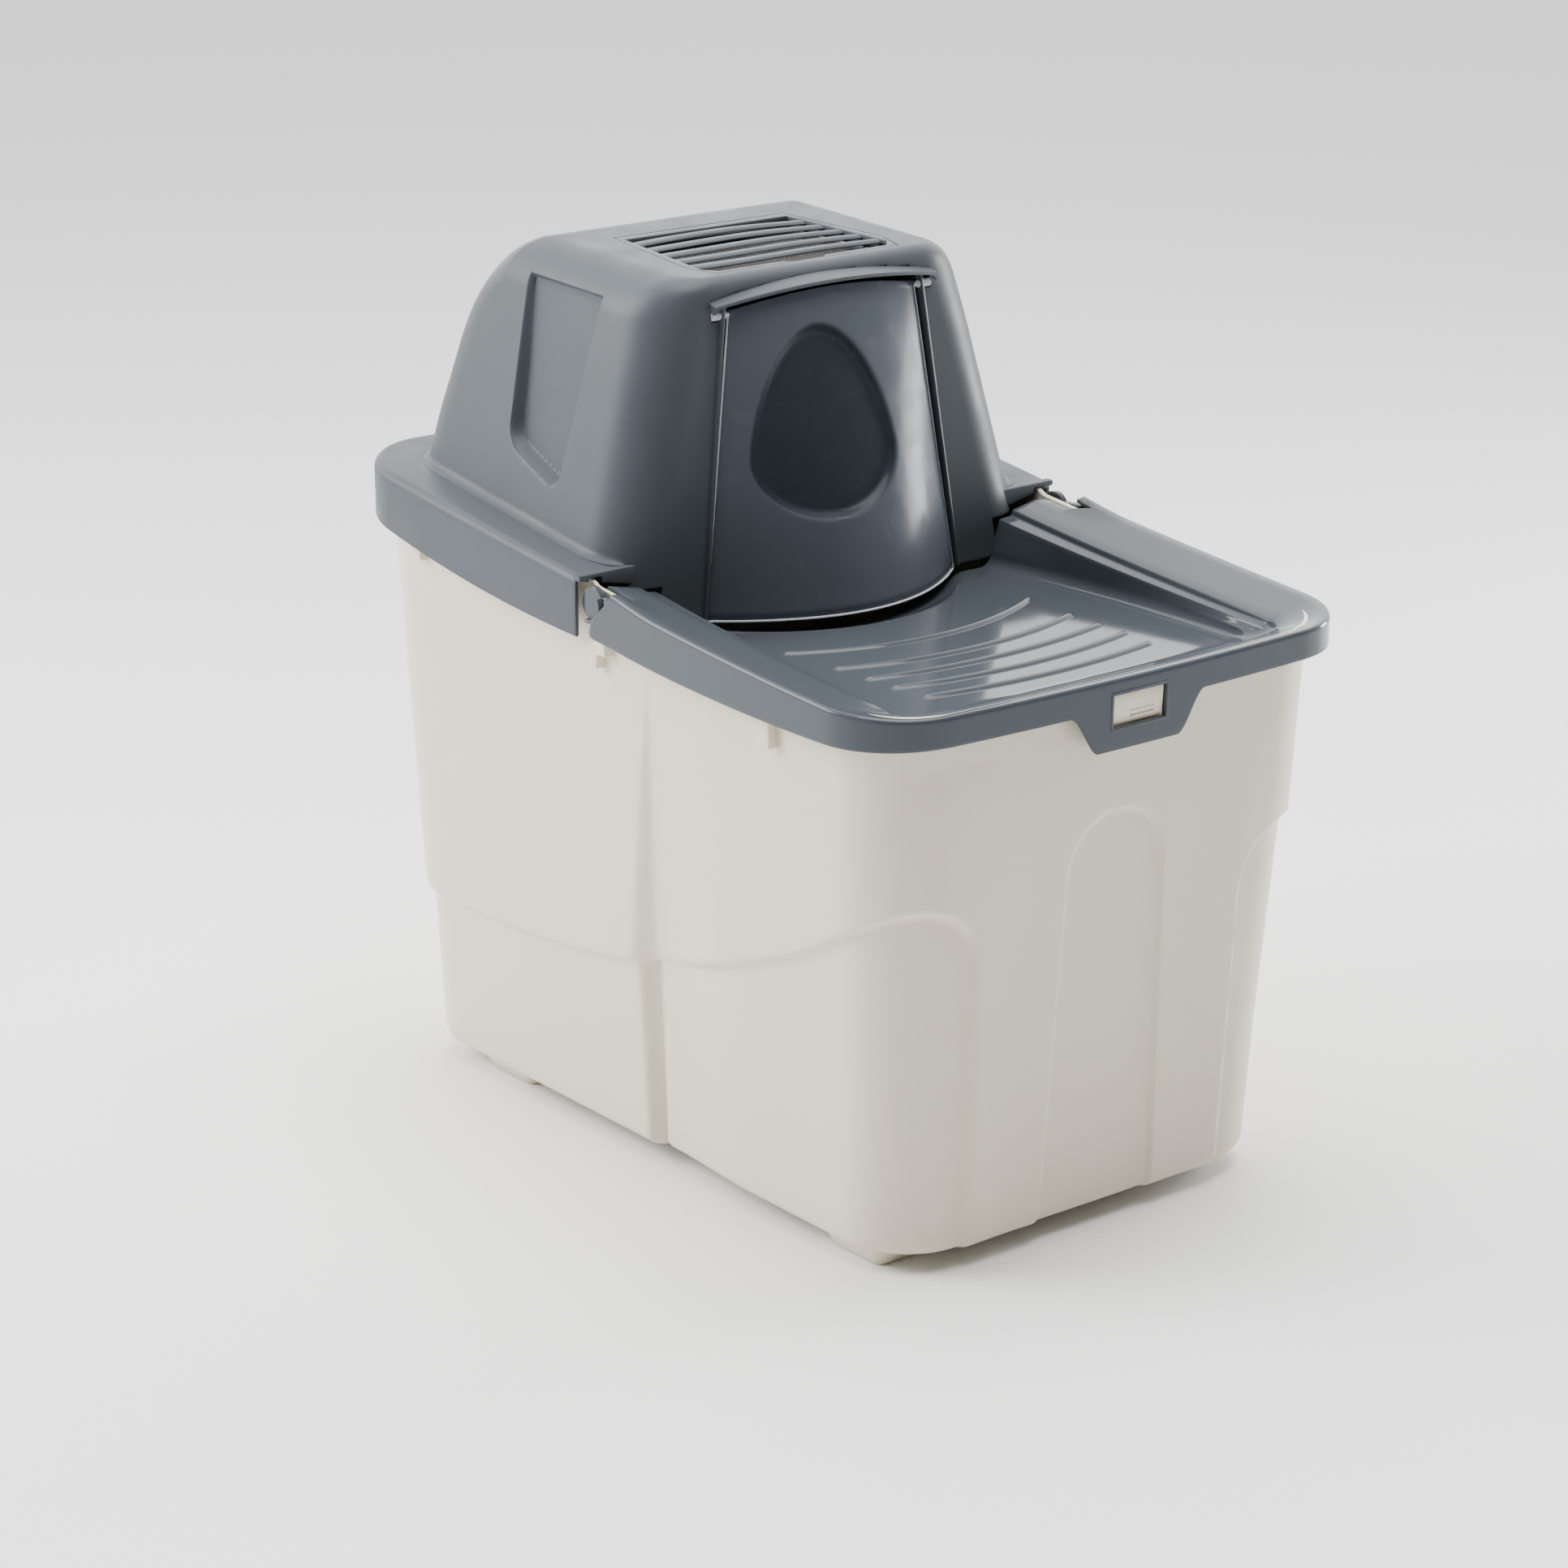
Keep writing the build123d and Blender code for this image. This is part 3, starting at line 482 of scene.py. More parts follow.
BASE_HALF = 161.0
BASE_FRONT = -252.0
BASE_REAR = 264.0
SIDE_DRAFT = 0.064
FRONT_DRAFT = 0.052
REAR_DRAFT = 0.02
BIN_CORNER = 50.0
BIN_WALL = 3.0
RIM_DROP = 3.0
FRONT_BOW = 4.5
PANEL_EDGE = 108.0
PANEL_ARCH = 40.0
PANEL_ARCH_Z = 200.0
PANEL_JOIN = 232.0
ARCH_HALF = 38.5
ARCH_Z = 240.0
ARCH_SPREAD = 0.035
ARCH_DEPTH = 3.0
STEP_OUT = 2.4
STEP_IN = 2.8
RELIEF_STEP = 4.4
WAIST_LOW_Z = 123.0
WAIST_RISE = 88.0
WAIST_REAR_Y = 200.0
WAIST_LENGTH = 405.0
WAIST_CURVE = 2.3
CREASE_TOP_Z = 343.0
CREASE_DEPTH = 9.5
CREASE_STEP = 4.4


def segment_steps(count):
    """Even steps from 0 up to but not including 1."""
    return np.arange(count) / count


def loop_plan(half, front, rear, front_corner, rear_corner, counts):
    """Right half of a rounded outline, from the front's middle to the rear's middle.

    Each argument may be one number or one per column; counts are the columns of the front, the
    front corner, the side, the rear corner and the rear. Returns x, y and each column's segment.
    """
    total = sum(counts) + 1
    full = [np.broadcast_to(np.asarray(v, float), (total,)) for v in
            (half, front, rear, front_corner, rear_corner)]
    half, front, rear, front_corner, rear_corner = full
    x = np.zeros(total)
    y = np.zeros(total)
    segment = np.concatenate([np.full(n, k) for k, n in enumerate(counts)] + [[4]])
    t = np.concatenate([segment_steps(n) for n in counts] + [[1.0]])
    front_part, corner, side, rear_bend, rear_part = (segment == k for k in range(5))
    x[front_part] = (t * (half - front_corner))[front_part]
    y[front_part] = front[front_part]
    turn = t * math.pi / 2
    x[corner] = (half - front_corner + front_corner * np.sin(turn))[corner]
    y[corner] = (front + front_corner - front_corner * np.cos(turn))[corner]
    x[side] = half[side]
    y[side] = (front + front_corner + t * (rear - rear_corner - front - front_corner))[side]
    x[rear_bend] = (half - rear_corner + rear_corner * np.cos(turn))[rear_bend]
    y[rear_bend] = (rear - rear_corner + rear_corner * np.sin(turn))[rear_bend]
    x[rear_part] = ((1 - t) * (half - rear_corner))[rear_part]
    y[rear_part] = rear[rear_part]
    return x, y, segment


def whole_loop(half_rows):
    """Closed rows from right halves that start at the front's middle and end at the rear's."""
    half_rows = np.asarray(half_rows)
    left = half_rows[:, -2:0:-1].copy()
    left[:, :, 0] *= -1
    return np.concatenate([half_rows, left], axis=1)


BIN_COUNTS = (84, 36, 180, 16, 22)


def bin_plan(z, inset):
    """Right half of the bin's plan at height z (one value per column), inset from the outside."""
    rise = z - FOOT_TOP
    half = BASE_HALF + SIDE_DRAFT * rise - inset
    front = BASE_FRONT - FRONT_DRAFT * rise + inset
    rear = BASE_REAR + REAR_DRAFT * rise - inset
    corner = np.maximum(BIN_CORNER - inset, 4.0)
    return loop_plan(half, front, rear, corner, corner, BIN_COUNTS)


def waist_z(y):
    """Height of the waist line on the bin's side."""
    return WAIST_LOW_Z + WAIST_RISE * np.clip((WAIST_REAR_Y - y) / WAIST_LENGTH, 0.0, 1.2) ** WAIST_CURVE


def panel_distance(along, y_side, z):
    """How far a point is inside the set-back lower panel, along being the path from the front."""
    edge = PANEL_EDGE - 4.0 * np.clip((PANEL_ARCH_Z - z) / PANEL_ARCH_Z, 0.0, 1.0)
    peak = PANEL_EDGE + PANEL_ARCH
    upright = along - edge
    arch = PANEL_ARCH - np.hypot(peak - along, np.maximum(z - PANEL_ARCH_Z, 0.0))
    near = np.where(z > PANEL_ARCH_Z, arch, upright)
    t = np.clip((along - peak) / (PANEL_JOIN - peak), 0.0, 1.0)
    join_y = y_side + PANEL_JOIN - along
    end = waist_z(join_y)
    slope = (waist_z(join_y + 1.0) - end) * (PANEL_JOIN - peak)
    top = PANEL_ARCH_Z + PANEL_ARCH
    eased = (
        (2 * t**3 - 3 * t**2 + 1) * top + (-2 * t**3 + 3 * t**2) * end + (t**3 - t**2) * slope
    )
    upper = np.where(along > PANEL_JOIN, waist_z(y_side), eased)
    return np.where(along < peak, near, (upper - z) * 0.9)


def crease_depth(y, z):
    """Depth of the upright crease in the bin's side, a wedge that widens to the waist."""
    waist = waist_z(y)
    t = np.clip((CREASE_TOP_Z - z) / (CREASE_TOP_Z - waist), 0.0, 1.0)
    rear_edge = -37.0 + 36.0 * t
    deep = -38.5 + 16.0 * t
    upper = CREASE_DEPTH * t * np.where(
        y > deep,
        smooth((rear_edge - y) / np.maximum(rear_edge - deep, 0.5)),
        1 - smooth((deep - y) / 75.0),
    )
    low_t = np.clip(z / np.maximum(waist, 1.0), 0.0, 1.0)
    low_rear = -4.5 + 1.5 * low_t
    low_deep = -13.0 - 2.0 * low_t
    low_front = -17.0 - 11.0 * low_t
    lower = np.where(
        y > low_deep,
        CREASE_DEPTH * smooth((low_rear - y) / (low_rear - low_deep)),
        CREASE_DEPTH - CREASE_STEP * np.clip((low_deep - y) / (low_deep - low_front), 0.0, 1.0),
    )
    fading = (CREASE_DEPTH - CREASE_STEP) * (1 - smooth((low_front - 1.0 - y) / 90.0))
    lower = np.where(y < low_front, fading, lower)
    return np.where(z > waist, upper, lower)


def bin_relief(x, y, z, segment, along):
    """Outward displacement of the bin's wall: panels, waist, front arch and side crease."""
    side_start = along[np.argmax(segment == 2)]
    y_side = along - side_start + y[np.argmax(segment == 2)]
    inside = panel_distance(along, y_side, z)
    waist = waist_z(y_side)
    above = STEP_OUT * (1 - np.clip((z - waist) / (330.0 - waist), 0.0, 1.0))
    above *= smooth((along - 60.0) / 60.0)
    below = -STEP_IN + 1.2 * np.clip((100.0 - z) / 90.0, 0.0, 1.0)
    step = smooth(inside / RELIEF_STEP + 0.5)
    relief = above * (1 - step) + below * step
    arch_half = ARCH_HALF + ARCH_SPREAD * np.clip(ARCH_Z - z, 0.0, 400.0)
    arch = arch_half - np.hypot(np.abs(x), np.maximum(z - ARCH_Z, 0.0))
    front_part = segment == 0
    relief -= np.where(front_part, ARCH_DEPTH * smooth(arch / (0.8 * RELIEF_STEP) + 0.5), 0.0)
    on_side = (segment == 2) & (y < 60.0)
    relief -= np.where(on_side, crease_depth(y, z), 0.0)
    bow = FRONT_BOW * front_bow(x)
    return relief + np.where(segment <= 1, bow * (y < -180.0), 0.0)


def bin_row(z, inset):
    """One row of the bin's skin at heights z, with its relief."""
    x, y, segment = bin_plan(z, inset)
    outer_x, outer_y, _ = bin_plan(z, 0.0)
    along = np.concatenate([[0.0], np.cumsum(np.hypot(np.diff(outer_x), np.diff(outer_y)))])
    tangent = np.stack([np.gradient(outer_x), np.gradient(outer_y)], 1)
    tangent /= np.linalg.norm(tangent, axis=1)[:, None]
    normal = np.stack([tangent[:, 1], -tangent[:, 0]], 1)
    push = bin_relief(outer_x, outer_y, z, segment, along)
    points = np.stack([x, y], 1) + normal * push[:, None]
    return np.column_stack([points, z])


def bin_rim_z():
    """Height of the bin's upper edge for each column."""
    _, y, _ = bin_plan(np.full(sum(BIN_COUNTS) + 1, 375.0), 0.0)
    gap = smooth((y - LID_END_Y) / (LEDGE_FRONT_Y - LID_END_Y))
    lid = rail_z(np.minimum(y, LID_END_Y)) - RIM_DROP
    hood = ledge_z(np.maximum(y, LEDGE_FRONT_Y)) - RIM_DROP
    return lid * (1 - gap) + hood * gap


def flange_point_row(inset, z):
    """Row on the flange: the common rim outline of lid and hood, inset."""
    half = np.full(len(z), RIM_HALF - inset)
    x, y, _ = loop_plan(
        half, RIM_FRONT + inset, RIM_REAR - inset, RIM_CORNER - inset, RIM_CORNER - inset,
        BIN_COUNTS,
    )
    near_hinge = (np.abs(y - HINGE_Y + 11.0) < 27.0) & (x > 100.0)
    x = np.where(near_hinge, np.minimum(x, 185.4), x)
    y = y - 0.6 * FRONT_BOW * front_bow(x) * (y < -180.0)
    return np.column_stack([x, y, z])


def side_tab(name, y_low, y_high, z_low, z_high, reach):
    """Moulded tab standing on the bin's side wall under the skirt."""
    x = BASE_HALF + SIDE_DRAFT * (z_low - FOOT_TOP)
    return block(name, (x - 2.0, y_low, z_low), (x + reach, y_high, z_high), 0.6)


def drawn_in(row, scale):
    """Row of the bin shrunk towards the middle of the base."""
    centre = np.array([0.0, (BASE_FRONT + BASE_REAR) / 2])
    small = row.copy()
    small[:, :2] = centre + (row[:, :2] - centre) * scale
    return small


def make_bin():
    """Bin: one closed skin from the underside over the rim to the inner floor, and its tabs."""
    columns = sum(BIN_COUNTS) + 1
    rim = bin_rim_z()
    round_low = 9.0
    base = bin_row(np.full(columns, FOOT_TOP), round_low)
    rows = [drawn_in(base, scale) for scale in (0.03, 0.35, 0.68, 0.95)]
    for step in range(7):
        turn = step / 6 * math.pi / 2
        z = np.full(columns, FOOT_TOP + round_low * (1 - math.cos(turn)))
        rows.append(bin_row(z, round_low * (1 - math.sin(turn))))
    low = FOOT_TOP + round_low
    wall_rows = 150
    for step in range(1, wall_rows + 1):
        z = low + (rim - 3.0 - low) * step / wall_rows
        rows.append(bin_row(z, 0.0))
    for inset, drop in ((5.6, 3.0), (5.0, 2.4), (5.0, 0.6), (5.6, 0.0)):
        rows.append(flange_point_row(inset, rim - drop))
    rows.append(bin_row(rim, BIN_WALL - 0.8))
    rows.append(bin_row(rim - 0.8, BIN_WALL))
    inner_rows = 40
    inner_low = FOOT_TOP + BIN_WALL + 6.0
    for step in range(1, inner_rows + 1):
        z = rim - 0.8 + (inner_low - rim + 0.8) * step / inner_rows
        rows.append(bin_row(z, BIN_WALL))
    for step in range(1, 5):
        turn = step / 4 * math.pi / 2
        z = np.full(columns, inner_low - 6.0 * math.sin(turn))
        rows.append(bin_row(z, BIN_WALL + 6.0 * (1 - math.cos(turn))))
    floor = rows[-1]
    rows += [drawn_in(floor, scale) for scale in (0.9, 0.6, 0.3, 0.03)]
    parts = [closed_skin("bin_body", rows)]
    for tab in (
        side_tab("tab_rear", 200.0, 211.0, 364.0, 372.0, 6.0),
        side_tab("tab_hinge", 5.5, 13.0, 336.5, 356.0, 7.0),
        side_tab("tab_hinge_foot", -4.0, 6.5, 346.0, 356.0, 7.0),
        side_tab("tab_front", -166.5, -156.0, 327.0, 346.0, 7.0),
    ):
        parts += [tab, mirrored(tab)]
    tub = join("bin_tub_detail", parts)
    return place(tub, "bin", "bin_plastic", BIN_PLASTIC, "bin_tub")


def closed_skin(name, half_rows, centre=(0.0, 0.0)):
    """Closed skin round a centre through rings given by their right halves, both ends filled."""
    loops = whole_loop(half_rows)
    loops[:, :, :2] += centre
    rows, columns = loops.shape[:2]
    skin = make_object(name, loops, grid_faces(rows, columns, True).reshape(-1, 4).tolist())

    def close(mesh):
        mesh.verts.ensure_lookup_table()
        for first in (0, (rows - 1) * columns):
            mesh.faces.new([mesh.verts[first + k] for k in range(columns)])
        even_normals(mesh)

    rework(skin, close)
    return skin


def make_foot(name):
    """Foot: a tapered pad with a rounded sole edge."""
    low, high = node_box(name)
    centre_x, centre_y = (low[0] + high[0]) / 2, (low[1] + high[1]) / 2
    half_x, half_y = (high[0] - low[0]) / 2, (high[1] - low[1]) / 2
    rings = []
    profile = ((0.0, 6.5), (0.3, 5.2), (1.2, 4.2), (3.0, 3.3), (8.5, 0.9), (10.0, 0.2), (11.4, 0.0))
    for z, inset in profile:
        x, y, _ = loop_plan(
            half_x - inset, -half_y + inset, half_y - inset, 9.0 - inset * 0.5, 9.0 - inset * 0.5,
            (3, 6, 4, 6, 3),
        )
        rings.append(np.column_stack([x, y, np.full(len(x), z)]))
    foot = closed_skin(name + "_pad", rings, (centre_x, centre_y))
    return place(foot, "bin", "bin_plastic", BIN_PLASTIC, name)


# ---------------------------------------------------------------- hood

DOME_HALF = 169.8
DOME_BASE_Z = 397.0
DOME_SLOPE = 0.268
DOME_FRONT_Y = 8.0
DOME_LEAN = 0.062
DOME_CORNER = 38.0
DOME_TOP_Z = 572.0
DOME_TOP_ROUND = 26.0
ROOF_CORNER = 14.0
ROOF_FRONT_ROUND = 10.0
ROOF_RISE = 6.0
ROOF_REAR_Y = 170.0
DOME_REAR_Y = 252.0
DOME_REAR_Z = 423.0
REAR_ROUND = 38.0
BIB_Z = 354.0
CORNER_BASE_Z = 380.0
JAMB_TOP_Z = 551.5
DOORWAY_LOW_Z = 353.5
DOORWAY_LOW_HALF = 103.2
DOORWAY_SLOPE = 0.126
SOCKET_X = (82.0, 89.0)
SOCKET_Z = (538.5, 549.0)
VISOR_FRONT_Y = 3.5
VISOR_TOP_Z = 560.4
VISOR_ARCH = 7.6
VISOR_DROP_X = 86.0
VISOR_HALF = 90.0
GRIP_TOP_Z = 554.5
GRIP_CORNER = 13.0
GRIP_EDGE = 3.6
GRILLE_OUTLINE = ((0.0, 31.0), (74.0, 31.0), (82.0, 56.0), (70.0, 146.0), (0.0, 146.0))
GRILLE_SEAT = ((0.0, 38.0), (70.0, 38.0), (77.0, 58.0), (65.0, 138.0), (0.0, 138.0))


def front_y(z):
    """Y of the dome's front face."""
    return DOME_FRONT_Y + DOME_LEAN * (z - DOME_BASE_Z)


def dome_half(z):
    """Half width of the dome."""
    return DOME_HALF - DOME_SLOPE * (z - DOME_BASE_Z)


def doorway_half(z):
    """Half width of the doorway."""
    return DOORWAY_LOW_HALF - (z - DOORWAY_LOW_Z) * DOORWAY_SLOPE


def grip_front_y(z):
    """Front edge of the grip recess."""
    return 79.0 + (543.0 - z) * 0.048


def grip_rear_y(z):
    """Rear edge of the grip recess."""
    return 159.0 - (555.0 - z) * 0.125


def grip_depth(y, z):
    """Depth of the grip recess in the dome's side."""
    bottom = (z - 427.5 - (y - 84.0) * 0.34) * 0.95
    distances = (y - grip_front_y(z), grip_rear_y(z) - y, bottom)
    away = np.sqrt(sum(np.maximum(GRIP_CORNER - d, 0.0) ** 2 for d in distances))
    inside = np.minimum(GRIP_CORNER - away, GRIP_TOP_Z - z)
    deep = 4.6 + 5.4 * (GRIP_TOP_Z - z) / 120.0
    return deep * smooth(inside / GRIP_EDGE)


def even(start, end, count):
    """Even steps from start up to but not including end."""
    return start + (end - start) * np.arange(count) / count


def dense_ends(start, end, count):
    """Steps from start towards end that are closer together at both ends."""
    return start + (end - start) * (1 - np.cos(math.pi * np.arange(count) / count)) / 2


# The dome's columns run from the front's middle round to the rear's middle, in these parts.
DOORWAY_COLUMNS = 30
DOME_FRONT_COLUMNS = 14
DOME_CORNER_COLUMNS = 26
DOME_SIDE_COLUMNS = (22, 56, 40)
DOME_BEND_COLUMNS = 22
DOME_REAR_COLUMNS = 27
DOME_PARTS = (
    DOORWAY_COLUMNS, DOME_FRONT_COLUMNS, DOME_CORNER_COLUMNS, *DOME_SIDE_COLUMNS,
    DOME_BEND_COLUMNS, DOME_REAR_COLUMNS,
)
DOME_COLUMNS = sum(DOME_PARTS)
# Way along each part: an angle round the corner, and a share from 0 to 1 or back elsewhere.
DOME_WAY = np.concatenate([
    even(0.0, 1.0, DOORWAY_COLUMNS), even(0.0, 1.0, DOME_FRONT_COLUMNS),
    even(0.0, math.pi / 2, DOME_CORNER_COLUMNS), even(0.0, 1.0, DOME_SIDE_COLUMNS[0]),
    dense_ends(0.0, 1.0, DOME_SIDE_COLUMNS[1]), even(0.0, 1.0, DOME_SIDE_COLUMNS[2]),
    even(0.0, 1.0, DOME_BEND_COLUMNS), np.linspace(1.0, 0.0, DOME_REAR_COLUMNS),
])


def dome_row(heights):
    """Right half of the dome's ring at one height, or at one height for each column."""
    z = np.broadcast_to(np.asarray(heights, float), (DOME_COLUMNS,))
    rise = np.clip((z - (DOME_TOP_Z - DOME_TOP_ROUND)) / DOME_TOP_ROUND, 0.0, 1.0)
    side_inset = DOME_TOP_ROUND * (1 - np.sqrt(1 - rise**2))
    front_rise = np.clip((z - (DOME_TOP_Z - ROOF_FRONT_ROUND)) / ROOF_FRONT_ROUND, 0.0, 1.0)
    front = front_y(z) + ROOF_FRONT_ROUND * (1 - np.sqrt(1 - front_rise**2))
    corner = DOME_CORNER - (DOME_CORNER - ROOF_CORNER) * side_inset / DOME_TOP_ROUND
    side = dome_half(z) - side_inset
    straight = side - corner
    doorway = doorway_half(z)
    rear, slant, bend, reach = rear_shape(z)
    outlines = [
        (DOME_WAY * doorway, front),
        (doorway + DOME_WAY * (straight - doorway), front),
        (straight + corner * np.sin(DOME_WAY), front + corner - corner * np.cos(DOME_WAY)),
    ]
    stops = (front + corner, grip_front_y(z) - 1.0, grip_rear_y(z) + 1.0, rear_bend_start(z))
    for start, end in zip(stops[:-1], stops[1:]):
        y = start + (end - start) * DOME_WAY
        outlines.append((side - grip_depth(y, z), y))
    first = np.arcsin(np.clip((bend - reach) / bend, 0.0, 1.0))
    turn = first + (math.pi / 2 - first) * DOME_WAY
    flat = dome_half(z) - bend
    outlines.append((flat + bend * np.cos(turn), rear - bend * (1 - np.sin(turn)) / slant))
    outlines.append((DOME_WAY * flat, rear))
    part = np.repeat(np.arange(len(DOME_PARTS)), DOME_PARTS)
    x = np.choose(part, [outline[0] for outline in outlines])
    y = np.choose(part, [outline[1] for outline in outlines])
    return np.column_stack([x, y, z - roof_sink(y) * smooth((z - 500.0) / 66.0)])


def rear_shape(z):
    """Rear outline at height z: its y, the sine of its slant, edge radius and depth of the edge."""
    rise = np.clip((z - DOME_REAR_Z) / (DOME_TOP_Z - DOME_REAR_Z), 0.0, 0.9996)
    width = DOME_REAR_Y - ROOF_REAR_Y
    height = DOME_TOP_Z - DOME_REAR_Z
    level = np.sqrt(1 - rise**2)
    rear = ROOF_REAR_Y + width * level
    slope = width * rise / (height * level)
    slant = 1 / np.sqrt(1 + slope**2)
    bend = REAR_ROUND - (REAR_ROUND - DOME_TOP_ROUND) * smooth((z - 470.0) / 70.0)
    reach = np.minimum(bend, np.maximum(DOME_TOP_Z - z, 0.02))
    return rear, slant, bend, reach


def rear_bend_start(z):
    """Y where the rear edge's rounding starts on the side."""
    rear, slant, _, reach = rear_shape(z)
    return np.maximum(rear - reach / slant, grip_rear_y(z) + 6.0)


def roof_sink(y):
    """How far the roof lies below its highest line, at y."""
    return ROOF_RISE * np.clip((ROOF_REAR_Y - y) / (ROOF_REAR_Y - front_y(DOME_TOP_Z)), 0.0, 1.0)


def roof_z(y):
    """Height of the roof."""
    return DOME_TOP_Z - roof_sink(y)


def polygon_walk(corners, counts):
    """Points along a polyline, so many to each of its edges, and its last corner."""
    points = []
    for (ax, ay), (bx, by), count in zip(corners[:-1], corners[1:], counts):
        share = even(0.0, 1.0, count)
        points.append(np.column_stack([ax + (bx - ax) * share, ay + (by - ay) * share]))
    points.append(np.array([corners[-1]], float))
    return np.concatenate(points)


def make_dome():
    """Dome of the hood with its flared base, grip recesses, doorway and roof opening."""
    front_count = DOORWAY_COLUMNS + DOME_FRONT_COLUMNS
    base_points = dome_row(402.0)
    base = ledge_z(base_points[:, 1])
    bib = np.arange(DOME_COLUMNS) < front_count
    edge_x = base_points[:, 0]
    bib_round = 12.0
    past = np.clip(edge_x - 120.0, 0, bib_round)
    lift = bib_round - np.sqrt(np.maximum(bib_round**2 - past**2, 0))
    corner_share = smooth((base_points[:, 1] - 14.0) / 4.0)
    corner_base = CORNER_BASE_Z + (base + 0.3 - CORNER_BASE_Z) * corner_share
    base = np.where(bib, BIB_Z + lift, corner_base)
    flare = smooth((base_points[:, 1] - 14.0) / 10.0)
    rows = []
    flare_radius = 4.5
    for step in range(6):
        turn = step / 6 * math.pi / 2
        rise = flare_radius * (1 - math.cos(turn)) * flare
        row = dome_row(base + rise)
        outward = flare_radius * (1 - math.sin(turn)) * flare
        along_y = np.gradient(row[:, 1])
        along_x = np.gradient(row[:, 0])
        size = np.hypot(along_x, along_y)
        row[:, 0] += along_y / size * outward
        row[:, 1] -= along_x / size * outward
        row[-1, 0] = 0.0
        rows.append(row)
    start = base + flare_radius * flare
    wall_rows = 104
    wall_top = DOME_TOP_Z - DOME_TOP_ROUND
    for step in range(wall_rows):
        z = start + (wall_top - start) * step / wall_rows
        rows.append(dome_row(z))
    for step in range(15):
        z = wall_top + DOME_TOP_ROUND * math.sin(step / 14 * math.pi / 2)
        rows.append(dome_row(z))
    counts = (
        front_count, DOME_CORNER_COLUMNS, sum(DOME_SIDE_COLUMNS),
        DOME_BEND_COLUMNS + DOME_REAR_COLUMNS - 1,
    )
    opening = polygon_walk(GRILLE_OUTLINE, counts)
    last = rows[-1].copy()
    for step in range(1, 13):
        share = step / 12
        row = last.copy()
        row[:, :2] = last[:, :2] + (opening - last[:, :2]) * share
        row[:, 2] = roof_z(row[:, 1])
        rows.append(row)
    for drop in (0.8, 2.4, 4.5):
        row = rows[-1].copy()
        row[:, :2] = opening
        row[:, 2] = roof_z(row[:, 1]) - drop
        rows.append(row)
    seat = rows[-1].copy()
    seat[:, :2] = polygon_walk(GRILLE_SEAT, counts)
    rows.append(seat)
    loops = whole_loop(rows)
    dome = grid_object("dome", loops, (0, 130, 480), wrap=True, keep=dome_openings(loops))
    return thicken(dome)


def dome_openings(loops):
    """Faces of the dome that stay: all but the doorway and the sockets of the door's pins."""
    height = loops[:-1, :, 2]
    columns = loops.shape[1]
    in_doorway = np.zeros(height.shape, bool)
    in_doorway[:, :DOORWAY_COLUMNS] = True
    in_doorway[:, columns - DOORWAY_COLUMNS:] = True
    across = np.abs(loops[:-1, :, 0])
    cut = in_doorway & (height < visor_height(across) - 1.2)
    socket = (across > SOCKET_X[0]) & (across < SOCKET_X[1]) & (loops[:-1, :, 1] < 30.0)
    return ~(cut | (socket & (height > SOCKET_Z[0]) & (height < SOCKET_Z[1])))


def u_outline(inset, y_end, counts):
    """Right half of the hood's rim outline from its open end round the corner to the middle."""
    corner = RIM_CORNER - inset
    half = RIM_HALF - inset
    reach = RIM_REAR - inset
    side, bend, across = counts
    y_side = y_end + (reach - corner - y_end) * segment_steps(side)
    turn = segment_steps(bend) * math.pi / 2
    x = np.concatenate([
        np.full(side, half), half - corner + corner * np.cos(turn),
        (half - corner) * (1 - segment_steps(across)), [0.0],
    ])
    y = np.concatenate([
        y_side, reach - corner + corner * np.sin(turn), np.full(across + 1, reach)
    ])
    return x, y


def both_halves(rows):
    """Open rows from right halves that end on the middle line, continued by their mirror image."""
    rows = np.asarray(rows)
    left = rows[:, -2::-1].copy()
    left[:, :, 0] *= -1
    return np.concatenate([rows, left], axis=1)


def make_hood_rim():
    """Ledge and skirt of the hood, with the lip over the step lid."""
    counts = (60, 20, 30)
    rows = []

    def row(inset, height):
        x, y = u_outline(inset, LEDGE_FRONT_Y, counts)
        bow = 1.6 * np.clip(1 - ((y - 140.0) / 125.0) ** 2, 0.0, 1.0) * (x > 150)
        x = x + bow * (inset < 20)
        rows.append(np.column_stack([x, y, height(y)]))

    for lift in (0.0, 0.4, 1.2):
        row(1.2 - lift, lambda y, lift=lift: hood_edge_z(y) + lift * 0.8)
    for share in np.linspace(0.1, 1.0, 9):
        row(0.0, lambda y, share=share: hood_edge_z(y) + 1.0
            + (ledge_z(y) - 7.0 - hood_edge_z(y)) * share)
    for step in range(1, 9):
        turn = step / 8 * math.pi / 2
        row(6.0 * (1 - math.cos(turn)), lambda y, turn=turn: ledge_z(y) - 6.0 * (1 - math.sin(turn)))
    for inset in (12.0, 20.0, 27.0, 33.0):
        row(inset, ledge_z)
    band = grid_object("hood_band", both_halves(rows), (0, 150, 340))
    parts = [thicken(band)]
    lip = make_hood_lip()
    return parts + [lip, mirrored(lip)]


